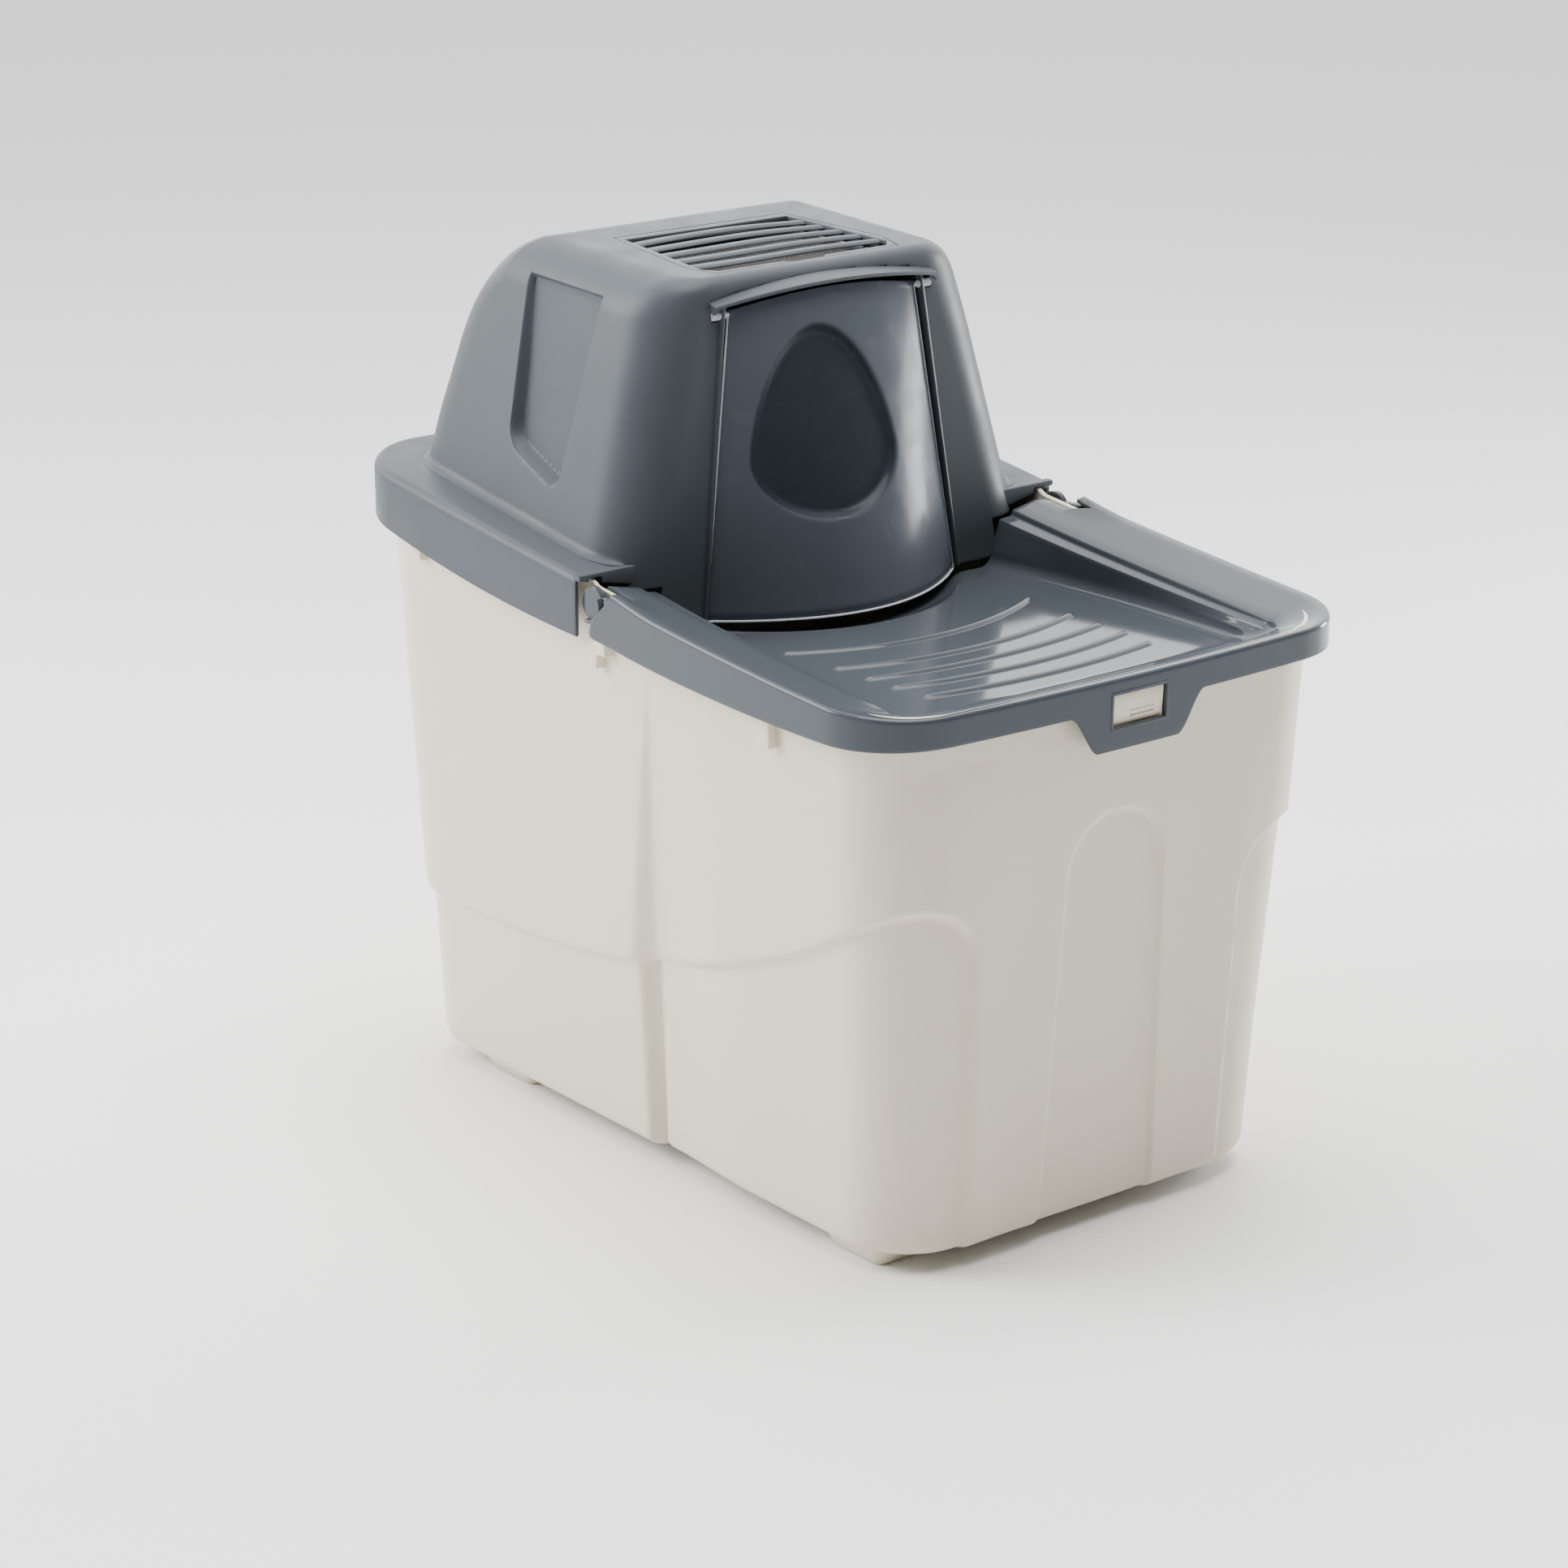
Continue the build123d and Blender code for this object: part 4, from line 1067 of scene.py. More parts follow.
def make_hood_lip():
    """Right half of the lip that closes the ledge's front edge down to the lid's rail."""
    lip_y = 13.0
    sections = []
    stops = [*np.linspace(118.0, 178.0, 16), 178.6, 182.0, 187.6, 188.2, 190.0, 194.0, 195.4]
    for x in stops:
        over_slot = 178.3 < x < 187.9
        low = 392.4 if over_slot else 392.0 - RAIL_TILT * min(RIM_HALF - x, RAIL_INNER)
        low = 378.6 if x < RIM_HALF - RAIL_INNER - 2.0 else low
        sections.append([
            (x, lip_y + 6.0, low), (x, lip_y + 0.7, low), (x, lip_y, low + 0.7), (x, lip_y, 394.0),
            (x, lip_y + 0.5, 395.0), (x, lip_y + 1.5, 395.4), (x, lip_y + 6.0, 395.4),
        ])
    return sweep("lip", sections)


def make_jamb():
    """Right-hand rib round the doorway."""
    sections = []
    for z in np.linspace(BIB_Z, JAMB_TOP_Z, 24):
        x = doorway_half(z)
        y = front_y(z)
        sections.append([
            (x, y + 14, z), (x, y - 1.4, z), (x + 0.4, y - 2.2, z), (x + 1.3, y - 2.6, z),
            (x + 2.4, y - 2.2, z), (x + 3.0, y - 1.2, z), (x + 3.0, y + 14, z),
        ])
    return sweep("jamb", sections)


def visor_height(x):
    """Top of the visor where it meets the dome, over the door."""
    return VISOR_TOP_Z - VISOR_ARCH * (np.abs(x) / VISOR_DROP_X) ** 2


def make_visor():
    """Arched visor over the door, bowed forwards, with a short drop at its ends."""
    sections = []
    for x in np.linspace(-VISOR_HALF, VISOR_HALF, 61):
        top = visor_height(x)
        y = VISOR_FRONT_Y + 8.0 * (x / VISOR_HALF) ** 2
        end = float(smooth((abs(x) - VISOR_DROP_X) / 3.5))
        low = 4.4 + 2.6 * end
        sections.append([
            (x, 24.0, top + 0.6), (x, 17.0, top - 0.2), (x, y + 1.6, top - 1.6),
            (x, y + 0.5, top - 1.9), (x, y, top - 2.6), (x, y + 0.2, top - low + 0.3),
            (x, y + 1.0, top - low),
            (x, y + 3.0, top - low), (x, y + 6.0, top - 2.2), (x, 24.0, top - 1.9),
        ])
    return sweep("visor", sections)


def make_pad_pocket():
    """Pocket under the roof that holds the carbon pad, with bars across its floor."""
    low, high = PAD_LOW, PAD_HIGH
    base = low[2] - 2.5
    ahead, behind, outside = low[1] - 3, high[1] + 3, high[0] + 3
    gap = high[0] + 1.0
    parts = [
        block("pocket_side", (-outside, ahead, base), (-gap, behind, 563.5)),
        block("pocket_side", (gap, ahead, base), (outside, behind, 563.5)),
        block("pocket_front", (-outside, ahead, base), (outside, low[1] - 1, 562.5)),
        block("pocket_rear", (-outside, high[1] + 1, base), (outside, behind, 566.0)),
    ]
    for x in (-45.0, -22.5, 0.0, 22.5, 45.0):
        parts.append(block("pocket_bar", (x - 2, low[1] - 2, base), (x + 2, high[1] + 2, low[2] - 0.3)))
    return parts


def make_hood():
    """The hood moulding, all its islands in one piece."""
    jamb = make_jamb()
    parts = [make_dome(), *make_hood_rim(), jamb, mirrored(jamb), make_visor()]
    parts += make_pad_pocket()
    hood = join("hood_detail", parts)
    return place(hood, "hood", "hood_plastic", HOOD_PLASTIC, "hood_shell")


# ---------------------------------------------------------------- filter cover and pad

GRILLE_OPENING = ((0.0, 36.5), (68.0, 36.5), (75.5, 45.0), (66.0, 138.0), (0.0, 138.0))
GRILLE_COUNTS = (28, 8, 40, 20)
BAR_COUNT = 5
BAR_PITCH = 17.4
BAR_FIRST_Y = 53.0


def make_grille():
    """Filter cover: a flat frame with a finger notch, and wavy louvre bars across it."""
    outline = polygon_walk(GRILLE_OUTLINE, GRILLE_COUNTS)
    opening = polygon_walk(GRILLE_OPENING, GRILLE_COUNTS)
    centre = np.array([0.0, 92.0])
    sections = []
    for outer, inner in zip(outline, opening):
        away = outer - centre
        outer = outer - away / np.linalg.norm(away) * 0.7
        notch = 3.2 * float(smooth((17.0 - abs(inner[0])) / 3.0)) if inner[1] < 40 else 0.0
        inner = inner + np.array([0.0, -notch])
        inward = inner - outer
        inward = inward / np.linalg.norm(inward)
        loop = []
        for point, shift, drop in (
            (outer, 0.0, 2.6), (outer, 0.0, 0.5), (outer, 0.15, 0.15), (outer, 0.5, 0.0),
            (inner, -0.7, 0.0), (inner, -0.2, 0.2), (inner, 0.0, 0.7), (inner, 0.0, 2.6),
        ):
            spot = point + inward * shift
            loop.append((spot[0], spot[1], float(roof_z(spot[1])) - drop))
        sections.append(loop)
    right = np.array(sections)
    left = right[-2:0:-1].copy()
    left[:, :, 0] *= -1
    ring = np.concatenate([right, left])
    parts = [sweep("grille_frame", ring, ring=True)]
    for index in range(BAR_COUNT):
        parts.append(make_bar(index))
    grille = join("filter_cover_detail", parts)
    return place(grille, "filter_cover", "hood_plastic", HOOD_PLASTIC, "filter_grille")


def make_bar(index):
    """One wavy louvre bar; the rear ones bow further to the rear."""
    right_y = BAR_FIRST_Y + index * BAR_PITCH
    left_y = right_y + 4.0
    bow = 3.0 + 1.6 * index
    sections = []
    for share in np.linspace(0.0, 1.0, 41):
        y = left_y + (right_y - left_y) * share
        y += bow * math.sin(math.pi * share) * (1.25 - share) - 2.0 * math.sin(2 * math.pi * share)
        half_span = 76.5 - (y - 43.0) * 0.1
        x = -half_span + 2 * half_span * share
        width = 8.4 - 2.0 * share
        top = float(roof_z(y)) - 0.3
        sections.append([
            (x, y - width / 2 + 0.4, top - 2.4), (x, y - width / 2, top - 1.8),
            (x, y - width / 2 + 0.8, top - 0.9), (x, y - width / 6, top - 0.2),
            (x, y + width / 3, top), (x, y + width / 2, top - 0.5), (x, y + width / 2, top - 1.2),
            (x, y, top - 2.2),
        ])
    return sweep(f"bar_{index}", sections)


def make_pad():
    """Carbon foam pad: a block with a coarse open-cell skin."""
    mesh = bmesh.new()
    bmesh.ops.create_cube(mesh, size=1.0)
    bmesh.ops.subdivide_edges(mesh, edges=mesh.edges, cuts=47, use_grid_fill=True)
    low, high = PAD_LOW + 0.6, PAD_HIGH - 0.6
    centre, size = (low + high) / 2, high - low
    for vert in mesh.verts:
        spot = centre + size * np.array(vert.co)
        ripple = noise.noise(Vector(spot) * 0.42) + 0.6 * noise.noise(Vector(spot) * 0.95)
        normal = np.sign(vert.co) * (np.abs(vert.co) > 0.499)
        length = np.linalg.norm(normal) or 1.0
        vert.co = (spot + normal / length * (0.55 * ripple)) * MM
    pad = object_from_bmesh("carbon_pad_foam", mesh)
    place(pad, "hood", "carbon_foam", CARBON_FOAM, "carbon_filter")
    return pad


# ---------------------------------------------------------------- swing door

DOOR_BOTTOM_Z = DOOR_LOW[2]
DOOR_SHOULDER_Z = 545.0
DOOR_ARCH = 8.0
DOOR_HALF = (102.4, 75.0)
DOOR_EDGE_Y = (5.7, 17.3)
DOOR_BOW = (43.7, 10.0)
EGG_DEPTH = 2.6
EGG_STEP = 6.0
EGG_EDGE_SHARE = 0.62
EGG_FLATNESS = 0.3
LINE_HEIGHT = 0.3


def door_point(share, z, outwards=0.0):
    """Point of the door's outer face; share runs from -1 to 1 across it."""
    t = (z - DOOR_BOTTOM_Z) / (DOOR_SHOULDER_Z - DOOR_BOTTOM_Z)
    y = mixed(DOOR_EDGE_Y, t) - mixed(DOOR_BOW, t) * (1 - share**2) - outwards
    return np.stack([mixed(DOOR_HALF, t) * share, y, z], -1)


def egg_distance(x, z):
    """How far a point is inside the egg-shaped relief of the door."""
    up = z - EGG_CENTRE_Z
    tall = np.where(up > 0, EGG_HIGH, EGG_LOW)
    width = EGG_HALF_WIDTH * (1 - EGG_NARROWING * np.clip(up / EGG_HIGH, 0.0, 1.0))
    return (1 - np.hypot((x - EGG_CENTRE_X) / width, up / tall)) * 48.0


def make_pane():
    """Bowed pane of the door with its egg-shaped relief and thinner rims."""
    columns, rows = 121, 131
    share = np.linspace(-1.0, 1.0, columns)
    grid = []
    for step in range(rows):
        level = step / (rows - 1)
        top = DOOR_SHOULDER_Z + DOOR_ARCH * (1 - share**2)
        z = DOOR_BOTTOM_Z + (top - DOOR_BOTTOM_Z) * level
        x = door_point(share, z)[:, 0]
        inside = egg_distance(x, z)
        line = smooth((z - 482.0 - 9.0 * (np.abs(x - EGG_CENTRE_X) / 47.0) ** 6) / 2.0)
        flat = door_point(np.full(columns, EGG_EDGE_SHARE), z)[:, 1] - door_point(share, z)[:, 1]
        sunk = (EGG_DEPTH + EGG_FLATNESS * flat) * smooth(inside / EGG_STEP)
        relief = LINE_HEIGHT * smooth(inside / 2.0 - 4.0) * line - sunk
        rim = np.minimum(z - DOOR_BOTTOM_Z, top - z)
        relief -= 1.2 * (1 - smooth(rim / 5.0))
        grid.append(door_point(share, z, relief))
    return thicken(grid_object("pane", grid, (0, 200, 450)), 2.2, 0.4)


def make_door_flange():
    """Right-hand flange behind the door's edge."""
    sections = []
    for z in np.linspace(DOOR_BOTTOM_Z + 2.0, DOOR_SHOULDER_Z - 3.0, 30):
        edge = door_point(np.array(1.0), np.array(z))
        sections.append([
            (edge[0] - 1.9, edge[1] + 1.0, z), (edge[0] - 0.1, edge[1] + 0.6, z),
            (edge[0] - 0.2, edge[1] + 8.0, z), (edge[0] - 1.6, edge[1] + 8.0, z),
        ])
    return sweep("flange", sections)


def make_door():
    """Smoked door: the pane with edge flanges and pin barrels, and a pale bead on its edge that is a
    painted highlight.
    """
    pane = make_pane()
    flange = make_door_flange()
    barrel = tube("barrel", (66.0, 76.0), DOOR_PIVOT_Y + 1.5, DOOR_PIVOT_Z, 2.8, 0.5)
    parts = [pane, flange, mirrored(flange), barrel, mirrored(barrel)]
    door = join("door_pane_detail", parts)
    # The pane's colour holds painted shade on its egg-shaped middle.
    place(door, "door", "smoked_pane", SMOKED_AND_SHADED_PANE, "swing_door")
    # Painted highlight: a pale bead along the door's sides and bottom.
    edge_highlight = make_door_edge_highlight()
    return place(edge_highlight, "door", "clear_plastic", CLEAR_PLASTIC_AND_HIGHLIGHT)


def make_door_edge_highlight():
    """Painted highlight: a pale bead that runs down both sides of the door and along its bottom."""
    top = DOOR_SHOULDER_Z - 2.0
    path = [door_point(np.array(-1.0), np.array(z)) for z in np.linspace(top, DOOR_BOTTOM_Z, 30)]
    path += [door_point(np.array(a), np.array(DOOR_BOTTOM_Z)) for a in np.linspace(-0.98, 0.98, 60)]
    path += [door_point(np.array(1.0), np.array(z)) for z in np.linspace(DOOR_BOTTOM_Z, top, 30)]
    path = np.array(path)
    ahead = np.gradient(path, axis=0)
    ahead /= np.linalg.norm(ahead, axis=1)[:, None]
    front = np.cross(ahead, np.array([0.0, 1.0, 0.0]))
    front /= np.linalg.norm(front, axis=1)[:, None]
    other = np.cross(ahead, front)
    angles = np.arange(8) * math.pi / 4
    ring = np.cos(angles)[:, None, None] * front + np.sin(angles)[:, None, None] * other
    centre = path + np.array([0.0, 0.7, 0.0])
    return sweep("door_edge_painted_highlight", np.swapaxes(centre + 0.75 * ring, 0, 1))


def make_door_pin(side, node):
    """Pin that carries the door in the hood's socket, with its flat head outside the doorway."""
    thin = tube("pin", (75.0, 79.0), DOOR_PIVOT_Y, DOOR_PIVOT_Z, 1.6, 0.3)
    head = tube("pin_head", (78.0, 89.0), DOOR_PIVOT_Y, DOOR_PIVOT_Z, 2.7, 0.7)
    pin = join(node + "_detail", [thin, head])
    if side < 0:
        twin = mirrored(pin)
        bpy.data.objects.remove(pin)
        twin.name = node + "_detail"
        pin = twin
    return place(pin, "door", "clear_plastic", CLEAR_PLASTIC_AND_HIGHLIGHT, node)


def tube(name, x_range, y, z, radius, edge, steps=32):
    """Round bar along X with rounded ends."""
    start, end = x_range
    profile = (
        (start, radius - edge), (start + edge, radius), (end - edge, radius), (end, radius - edge)
    )
    angles = np.arange(steps) * 2 * math.pi / steps
    return sweep(name, [
        np.column_stack([np.full(steps, x), y + r * np.cos(angles), z + r * np.sin(angles)])
        for x, r in profile
    ])


# ---------------------------------------------------------------- step lid

TRAY_Z = 348.0
TRAY_INNER_CORNER = 12.0
RAIL_EDGE = 2.6
RAIL_INNER = 42.0
RAIL_TILT = 0.207
LIP_EDGE_Y = -54.0
LIP_RADIUS = 127.0
SLOT_INSETS = (8.5, 17.0)
SLOT_FRONT_Y = -28.0
CHEEK_CUT_Y = -60.0
LID_BOW = 5.0
LID_COUNTS = (96, 26, 60)
APRON_LOW_Z = 322.5
FRONT_SLOPE_WIDTH = 57.0
WINDOW = (22.0, 336.0, 358.0)
RIBS = (
    (-99.0, 104.0, -69.0), (-134.0, 99.0, -115.0), (-157.0, 98.0, -144.0),
    (-181.0, 97.0, -168.0), (-204.0, 94.0, -194.0),
)


def lid_station_y():
    """Y of the side's stations, closer together where the tray's edge curves in to the middle."""
    lip_centre = LIP_EDGE_Y + LIP_RADIUS
    widest = math.acos((lip_centre - LID_END_Y) / LIP_RADIUS)
    angles = np.linspace(widest, 0.0, 46)
    rear = lip_centre - LIP_RADIUS * np.cos(angles)
    front = even(LIP_EDGE_Y, RIM_FRONT + RIM_CORNER, LID_COUNTS[0] - 45)
    return np.concatenate([rear[:-1], front])


def lid_place(side_inset, front_inset):
    """Right half of the rim outline moved inwards, from the rear end to the front's middle."""
    side, bend, across = LID_COUNTS
    total = side + bend + across + 1
    corner = np.maximum(RIM_CORNER - (side_inset + front_inset) / 2, TRAY_INNER_CORNER)
    corner = np.broadcast_to(corner, (total,))
    half = np.broadcast_to(RIM_HALF - side_inset, (total,))
    front = np.broadcast_to(RIM_FRONT + front_inset, (total,))
    nominal = lid_station_y()
    reach = nominal[-1] - LIP_EDGE_Y
    x = np.empty(total)
    y = np.empty(total)
    s = slice(0, side)
    x[s] = half[s]
    end = (front + corner)[s] + 2.0
    ahead = nominal < LIP_EDGE_Y
    y[s] = np.where(ahead, LIP_EDGE_Y + (nominal - LIP_EDGE_Y) * (end - LIP_EDGE_Y) / reach, nominal)
    b = slice(side, side + bend)
    turn = segment_steps(bend) * math.pi / 2
    x[b] = (half - corner)[b] + corner[b] * np.cos(turn)
    y[b] = (front + corner)[b] - corner[b] * np.sin(turn)
    a = slice(side + bend, None)
    share = np.linspace(1.0, 0.0, across + 1)
    x[a] = (half - corner)[a] * share
    y[a] = front[a]
    return x, y


def make_lid_shell():
    """Skirt, rails, front rim, tray walls and tray floor of the step lid as one surface."""
    side, bend, across = LID_COUNTS
    total = side + bend + across + 1
    outer_x, outer_y = lid_place(0.0, 0.0)
    top = rail_z(np.clip(outer_y, -280.0, LID_END_Y))
    turn = np.clip((np.arange(total) - side) / bend, 0.0, 1.0)
    front_share = smooth(turn)
    low = lid_edge_z(np.clip(outer_y, -280.0, LID_END_Y))
    apron = np.clip((54.0 - np.abs(outer_x)) / 22.0, 0.0, 1.0) * (outer_y < -270.0)
    low = low - (low - APRON_LOW_Z) * smooth(apron)
    ledge_width = 2.0 + 7.5 * np.clip((outer_y + 233.0) / 235.0, 0.0, 1.0)
    ledge_end = RAIL_INNER + 2.6 + ledge_width
    ledge_drop = RAIL_TILT * RAIL_INNER + 3.8
    cove = np.minimum(9.0, 0.6 * (top - ledge_drop - TRAY_Z))
    wall_foot = RIM_HALF - np.interp(outer_y, (-233, -184, -125, -52, 1.5), (145, 146, 145.5, 141, 135))
    wall_foot = np.maximum(wall_foot, ledge_end + 0.8)
    rows = []

    def row(side_inset, side_z, front_inset, front_z):
        inset = side_inset * (1 - front_share) + front_inset * front_share
        z = side_z * (1 - front_share) + front_z * front_share
        x, y = lid_place(side_inset, front_inset)
        bow = LID_BOW * front_bow(x) * np.clip(1 - inset / 60.0, 0, 1)
        bow = bow * (np.arange(total) >= side)
        side_bow = 1.2 * np.clip(1 - ((y + 120.0) / 110.0) ** 2, 0.0, 1.0)
        x = x + side_bow * (np.arange(total) < side) * np.clip(1 - inset / 20.0, 0, 1)
        cheek = (y > CHEEK_CUT_Y) & (np.arange(total) < side) & (inset < SLOT_INSETS[0] + 0.1)
        end = np.interp(z, (355.9, 360.5, 371.0, 381.9, 389.3), (-1.5, 3.6, 0.0, -12.6, -19.8))
        shrunk = CHEEK_CUT_Y + (y - CHEEK_CUT_Y) * (end - CHEEK_CUT_Y) / (LID_END_Y - CHEEK_CUT_Y)
        y = np.where(cheek, shrunk, y)
        rows.append(np.column_stack([x, y - bow, z]))

    def outside(inset, z):
        row(inset, z, inset, z)

    outside(0.8, low)
    outside(0.2, low + 0.5)
    outside(0.0, low + 1.4)
    skirt = top - RAIL_EDGE
    for share in np.linspace(0.08, 1.0, 16):
        outside(0.0, low + 1.4 + (skirt - low - 1.4) * share)
    for step in range(1, 6):
        angle = step / 5 * math.radians(78)
        outside(RAIL_EDGE * (1 - math.cos(angle)), skirt + RAIL_EDGE * math.sin(angle))

    def front_z(inset):
        share = np.clip((np.asarray(inset) - RAIL_EDGE) / FRONT_SLOPE_WIDTH, 0.0, 1.0)
        drop = top - TRAY_Z
        slope = RAIL_TILT * FRONT_SLOPE_WIDTH
        eased = slope * (share**3 - 2 * share**2 + share) + drop * (3 * share**2 - 2 * share**3)
        return top - eased

    def rail_drop(inset):
        return RAIL_TILT * (inset - RAIL_EDGE)

    side_shape = [(inset, rail_drop(inset)) for inset in (*SLOT_INSETS, 25.0, 33.0, RAIL_INNER - 0.8)]
    for inward, down in ((0.0, 0.25), (0.5, 0.9), (0.8, 1.8), (1.1, 2.8), (1.7, 3.5), (2.6, 3.8)):
        side_shape.append((RAIL_INNER + inward, rail_drop(RAIL_INNER) + down))
    front_insets = [8.5, 11.0, 13.0, 15.5, 17.5, 19.0, 20.5, 22.0, 23.5, 25.0, 26.5]
    for (inset, drop), front_inset in zip(side_shape, front_insets):
        row(inset, top - drop, front_inset, front_z(front_inset))
    for back, drop, front_inset in ((1.4, 0.1, 28.0), (0.5, 0.4, 29.5), (0.0, 1.3, 31.0)):
        row(ledge_end - back, top - ledge_drop - drop, front_inset, front_z(front_inset))
    for share in np.linspace(0.12, 1.0, 9):
        inset = ledge_end + (wall_foot - ledge_end) * share
        start_z = top - ledge_drop - 1.3
        z = start_z + (TRAY_Z + cove - start_z) * share
        front_inset = 31.0 + 18.0 * share
        row(inset, z, front_inset, front_z(front_inset))
    for step in range(1, 7):
        angle = step / 6 * math.pi / 2
        inset = wall_foot + cove * (1 - math.cos(angle))
        z = TRAY_Z + cove * (1 - math.sin(angle))
        front_inset = 49.0 + 12.0 * step / 6
        row(inset, z, front_inset, front_z(front_inset))
    start = rows[-1].copy()
    hub = np.array([0.0, start[side - 1, 1]])
    lip_centre = LIP_EDGE_Y + LIP_RADIUS
    y_side = start[:, 1]
    arc_x = np.sqrt(np.maximum(LIP_RADIUS**2 - (lip_centre - y_side) ** 2, 0.0))
    target_x = np.where(np.arange(total) < side, np.where(y_side > LIP_EDGE_Y, arc_x, 0.0), hub[0])
    target_y = np.where(np.arange(total) < side, y_side, hub[1])
    for share in np.linspace(0.08, 1.0, 14):
        floor = start.copy()
        floor[:, 0] += (target_x - start[:, 0]) * share
        floor[:, 1] += (target_y - start[:, 1]) * share
        floor[:, 2] = start[:, 2] + (TRAY_Z - start[:, 2]) * min(1.0, share * 2)
        rows.append(floor)
    surface = both_halves(rows)
    keep = lid_openings(surface)
    shell = grid_object("lid_shell", surface, (0, -140, 300), keep=keep)
    return thicken(shell, 2.3, 0.5)


def lid_openings(surface):
    """Faces of the lid that stay: all but the rail slots and the catch's window."""
    centre = (surface[:-1, :-1] + surface[1:, :-1] + surface[1:, 1:] + surface[:-1, 1:]) / 4
    x, y, z = np.abs(centre[..., 0]), centre[..., 1], centre[..., 2]
    inner, outer = RIM_HALF - SLOT_INSETS[1], RIM_HALF - SLOT_INSETS[0]
    slot = (x > inner) & (x < outer) & (y > SLOT_FRONT_Y) & (z > 380.0)
    half, low, high = WINDOW
    window = (x < half) & (y < -270.0) & (z > low) & (z < high)
    return ~(slot | window)


def make_ribs():
    """Raised ribs across the tray, each on its own arc."""
    ribs = []
    for middle_y, end_x, end_y in RIBS:
        rise = end_y - middle_y
        radius = (end_x**2 + rise**2) / (2 * rise)
        centre_y = middle_y + radius
        widest = math.asin(end_x / radius)
        sections = []
        for share in np.linspace(-1.0, 1.0, 61):
            angle = widest * share
            radial = np.array([math.sin(angle), -math.cos(angle)])
            spot = np.array([0.0, centre_y]) + radius * radial
            taper = math.sqrt(max(1 - (max(abs(share) - 0.97, 0) / 0.03) ** 2, 0.02))
            loop = []
            for across, height in (
                (-4.2, -0.4), (-3.4, 0.1), (-2.4, 0.9), (-1.2, 1.6), (0.0, 1.8), (1.2, 1.6),
                (2.4, 0.9), (3.4, 0.1), (4.2, -0.4),
            ):
                point = spot + radial * across * taper
                loop.append((point[0], point[1], TRAY_Z + (height + 0.4) * taper - 0.4))
            sections.append(loop)
        ribs.append(sweep("rib", sections))
    return ribs


def make_entry_lip():
    """Concave lip that runs down from the tray's edge to the entry under the door."""
    centre_y = LIP_EDGE_Y + LIP_RADIUS
    profile = (
        (-1.5, 0.0), (0.0, -0.15), (1.5, -0.5), (3.5, -1.3), (6.0, -2.6), (9.0, -4.0), (13.0, -5.4),
        (18.0, -6.4), (24.0, -7.0), (30.0, -7.4),
    )
    rows = []
    for inward, drop in profile:
        radius = LIP_RADIUS - inward
        widest = math.acos((centre_y - LID_END_Y) / radius)
        angles = np.linspace(-widest, widest, 91)
        rows.append(np.column_stack([
            radius * np.sin(angles), centre_y - radius * np.cos(angles), np.full(91, TRAY_Z + drop)
        ]))
    lip = grid_object("entry_lip", rows, (0, -100, 250))
    return thicken(lip, 2.2, 0.4)


def make_knuckle():
    """Right-hand hinge cheek: a D-shaped disc with a raised curved edge."""
    disc = tube("cheek", (187.9, 192.3), HINGE_Y - 0.5, HINGE_Z, 11.4, 0.6, 48)
    web = block("cheek_web", (188.1, -22.0, 371.0), (192.0, HINGE_Y, 385.4), 0.8)
    gusset = block("cheek_gusset", (189.0, -20.0, 374.0), (194.9, -11.0, 385.6), 0.8)
    sections = []
    for angle in np.radians(np.linspace(150, 290, 29)):
        direction = np.array([math.cos(angle), math.sin(angle)])
        loop = []
        for x, radius in (
            (188.4, 10.0), (195.2, 10.0), (195.8, 10.6), (195.8, 11.6), (195.0, 12.2), (188.4, 12.2),
        ):
            spot = np.array([HINGE_Y, HINGE_Z]) + direction * radius
            loop.append((x, spot[0], spot[1]))
        sections.append(loop)
    rim = sweep("cheek_rim", sections)
    return [disc, web, gusset, rim]


def make_window_frame():
    """Returned edge round the catch's window."""
    half, low, high = WINDOW
    y = RIM_FRONT - LID_BOW
    out, over = 1.2, 0.6
    return [
        block("window_edge", (x_low, y - 0.25, z_low), (x_high, y + 4.0, z_high), 0.3)
        for x_low, z_low, x_high, z_high in (
            (-half - out, low - out, half + out, low + over),
            (-half - out, high - over, half + out, high + out),
            (-half - out, low, -half + over, high),
            (half - over, low, half + out, high),
        )
    ]


def make_lid():
    """The step lid moulding, all its islands in one piece."""
    parts = [make_lid_shell(), *make_ribs(), make_entry_lip(), *make_window_frame()]
    for piece in make_knuckle():
        parts += [piece, mirrored(piece)]
    lid = join("step_lid_detail", parts)
    return place(lid, "lid", "lid_plastic", LID_PLASTIC, "step_lid")


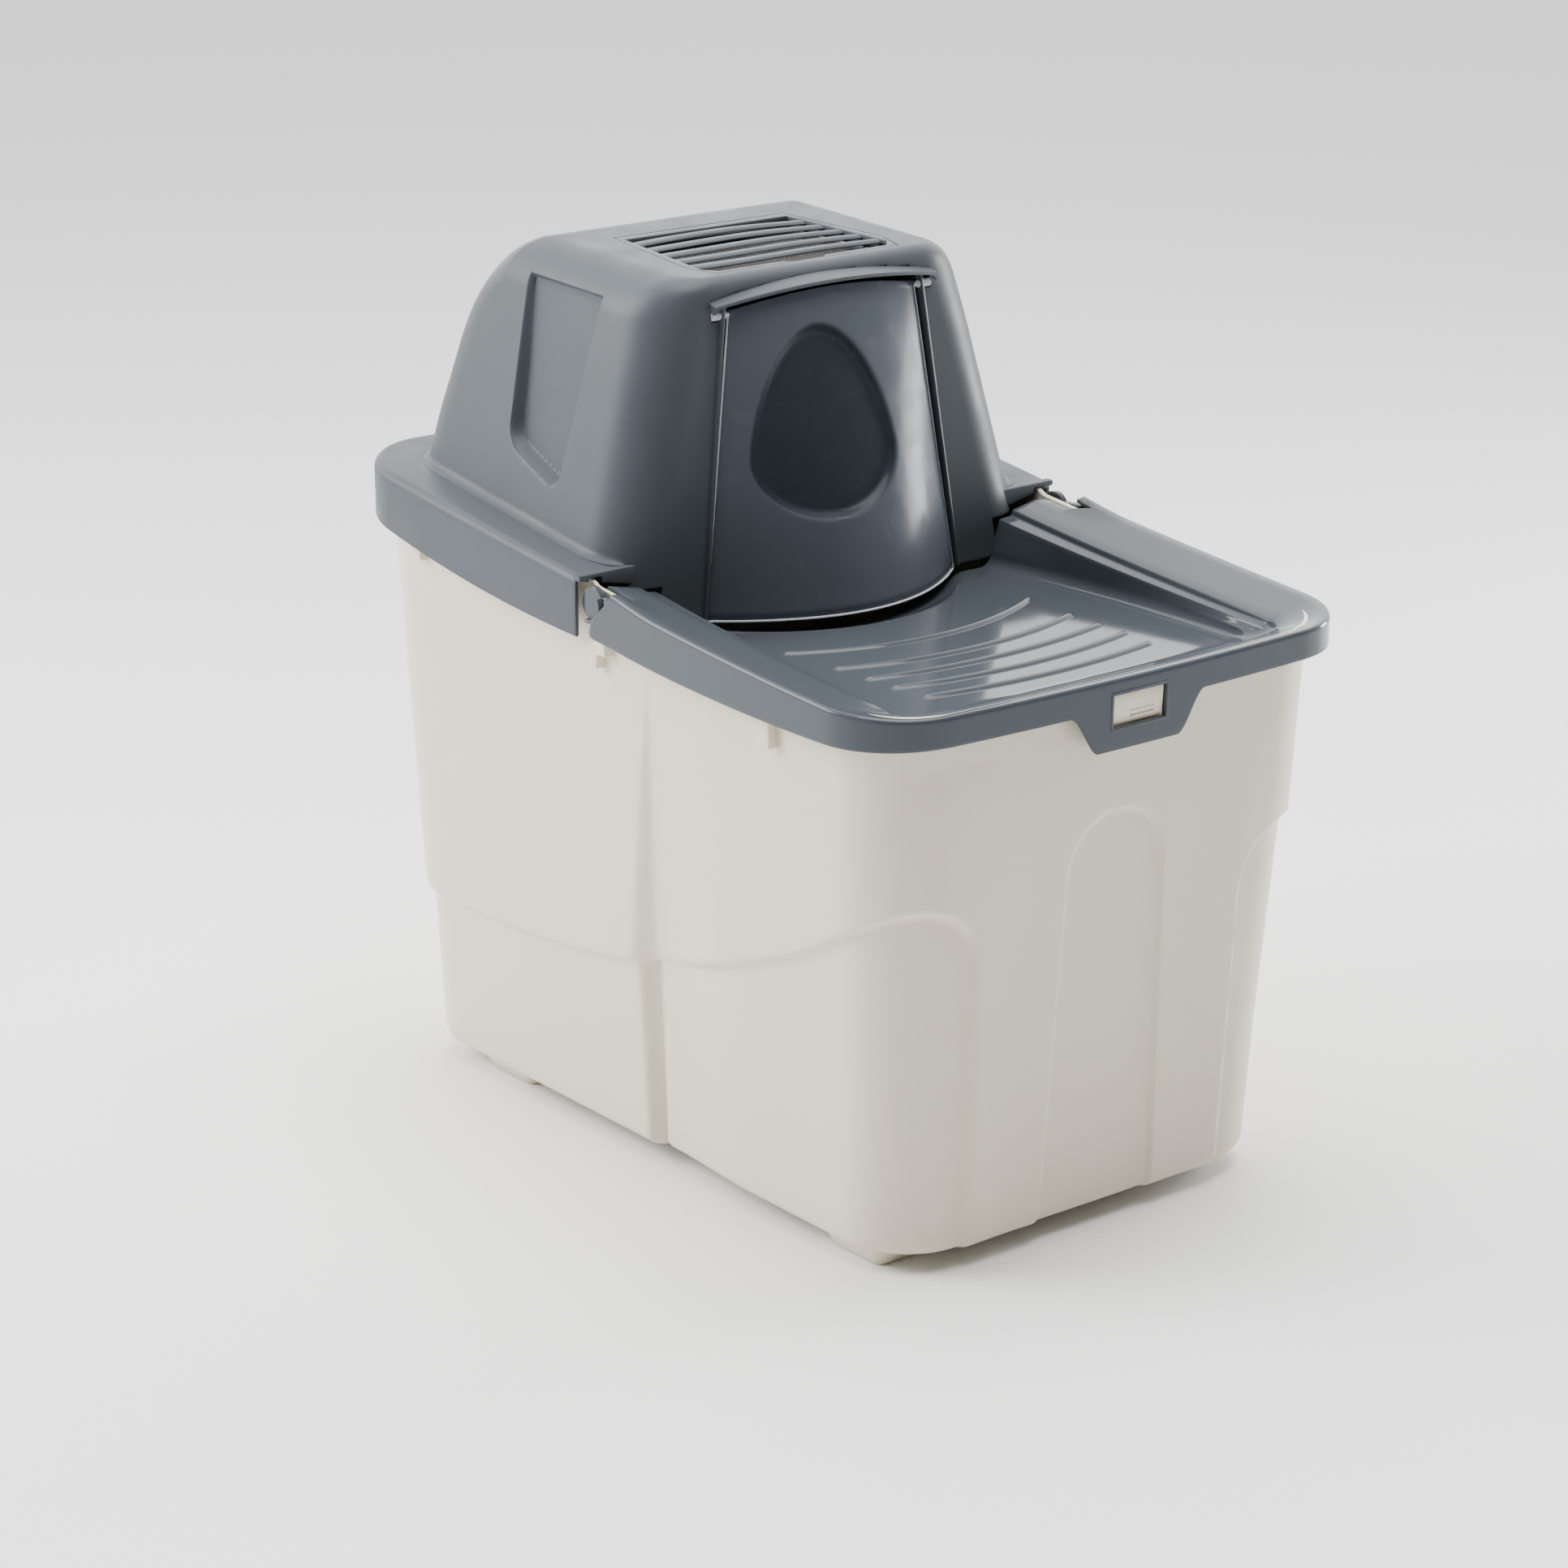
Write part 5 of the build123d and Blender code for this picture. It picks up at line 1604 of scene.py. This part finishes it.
def make_catch():
    """Front catch: a wedge-shaped plate with two grip lines, on its rocker pin."""
    half = 20.5
    face = RIM_FRONT - LID_BOW + 2.2
    sections = []
    for z, y, back in (
        (327.0, face + 1.6, 5.0), (330.0, face + 1.4, 5.0), (336.5, face + 1.2, 5.0),
        (339.0, face + 0.6, 5.0), (342.0, face - 0.1, 5.2), (345.0, face - 0.5, 5.2),
        (350.0, face - 0.9, 5.4), (355.0, face - 1.2, 5.6),
        (356.4, face - 0.8, 5.4), (357.0, face + 0.2, 4.4),
    ):
        bevel = 0.9
        sections.append([
            (-half, y + bevel, z), (-half + bevel, y, z), (half - bevel, y, z), (half, y + bevel, z),
            (half, y + back, z), (-half, y + back, z),
        ])
    plate = sweep("catch_plate", sections)
    parts = [plate]
    for z in (340.5, 344.0):
        parts.append(block("grip", (-6.0, face - 1.1, z), (13.0, face + 1.0, z + 1.3), 0.5))
    arm = block("catch_arm", (-half, face + 1.5, 325.0), (half, CATCH_HIGH[1], 331.0), 0.8)
    parts.append(arm)
    parts.append(tube("catch_pin", (-24.0, 24.0), -273.5, 327.0, 1.8, 0.3))
    catch = join("front_catch_detail", parts)
    return place(catch, "catch", "bin_plastic", BIN_PLASTIC, "front_catch")


# ---------------------------------------------------------------- stage

WORLD_FAR = 3.4
WORLD_NEAR = 0.03
CAMERA_SIDE = (-0.32, -0.93, 0.16)
CAMERA_AZIMUTH = math.radians(-38.32)
CAMERA_ELEVATION = math.radians(18.34)
CAMERA_DISTANCE = 2.75842
CAMERA_TARGET = Vector((-0.0325, 0.01564, 0.22654))
CAMERA_LENS = 97.08


def make_floor():
    """Pale studio floor."""
    half = 25000.0
    floor = make_object(
        "floor", [(-half, -half, 0), (half, -half, 0), (half, half, 0), (-half, half, 0)], [[0, 1, 2, 3]]
    )
    material, _, shader = new_material("floor_paint")
    shader.inputs["Base Color"].default_value = (0.88, 0.88, 0.88, 1)
    shader.inputs["Roughness"].default_value = 0.8
    floor.data.materials.append(material)


def area_light(name, location, target, size, power):
    """Rectangular soft light aimed at a point, in metres and watts."""
    data = bpy.data.lights.new(name, "AREA")
    data.shape = "RECTANGLE"
    data.size, data.size_y = size
    data.energy = power
    lamp = put_in_scene(name, data)
    lamp.location = location
    lamp.rotation_mode = "QUATERNION"
    lamp.rotation_quaternion = (Vector(target) - Vector(location)).to_track_quat("-Z", "Y")


def make_lights():
    """Bright surroundings behind the object, a dim camera side, and four soft lights."""
    world = bpy.data.worlds.new("studio")
    world.use_nodes = True
    tree = world.node_tree
    background = tree.nodes["Background"]
    background.inputs["Color"].default_value = (1.0, 1.0, 1.0, 1)
    coords = tree.nodes.new("ShaderNodeTexCoord")
    facing = tree.nodes.new("ShaderNodeVectorMath")
    facing.operation = "DOT_PRODUCT"
    facing.inputs[1].default_value = CAMERA_SIDE
    tree.links.new(coords.outputs["Generated"], facing.inputs[0])
    strength = tree.nodes.new("ShaderNodeMapRange")
    strength.interpolation_type = "SMOOTHSTEP"
    strength.inputs["From Min"].default_value = -0.55
    strength.inputs["From Max"].default_value = 0.38
    strength.inputs["To Min"].default_value = WORLD_FAR
    strength.inputs["To Max"].default_value = WORLD_NEAR
    tree.links.new(facing.outputs["Value"], strength.inputs["Value"])
    tree.links.new(strength.outputs["Result"], background.inputs["Strength"])
    bpy.context.scene.world = world
    middle = (0.0, 0.0, 0.3)
    area_light("left_light", (-1.85, 1.55, 1.7), middle, (1.5, 1.5), 98.0)
    area_light("right_light", (2.3, -0.34, 0.55), middle, (0.6, 1.0), 52.0)
    area_light("front_card", (-0.50, -2.2, 1.5), middle, (1.0, 1.2), 1.6)
    area_light("top_light", (0.1, -0.22, 2.8), middle, (1.8, 1.8), 105.0)


def make_camera():
    """Camera at the photographed viewing angle."""
    level = math.cos(CAMERA_ELEVATION)
    back = Vector((
        math.sin(CAMERA_AZIMUTH) * level, -math.cos(CAMERA_AZIMUTH) * level,
        math.sin(CAMERA_ELEVATION),
    ))
    data = bpy.data.cameras.new("camera")
    data.lens = CAMERA_LENS
    data.sensor_width = 36.0
    camera = put_in_scene("camera", data)
    camera.location = CAMERA_TARGET + back * CAMERA_DISTANCE
    camera.rotation_mode = "QUATERNION"
    camera.rotation_quaternion = (-back).to_track_quat("-Z", "Y")
    bpy.context.scene.camera = camera


def dress_cad_nodes():
    """Gives the lid's hinge pins, the only CAD nodes that show, their material."""
    for node in ("lid_hinge_pin_left", "lid_hinge_pin_right"):
        obj = frame["nodes"][node]
        obj.data.materials.clear()
        obj.data.materials.append(LID_PLASTIC)
        shade(obj, 30.0)


make_bin()
for foot in ("foot_front_left", "foot_front_right", "foot_rear_left", "foot_rear_right"):
    make_foot(foot)
make_hood()
make_grille()
make_pad()
make_door()
make_door_pin(-1, "door_pivot_left")
make_door_pin(1, "door_pivot_right")
make_lid()
make_catch()
dress_cad_nodes()
make_floor()
make_lights()
make_camera()
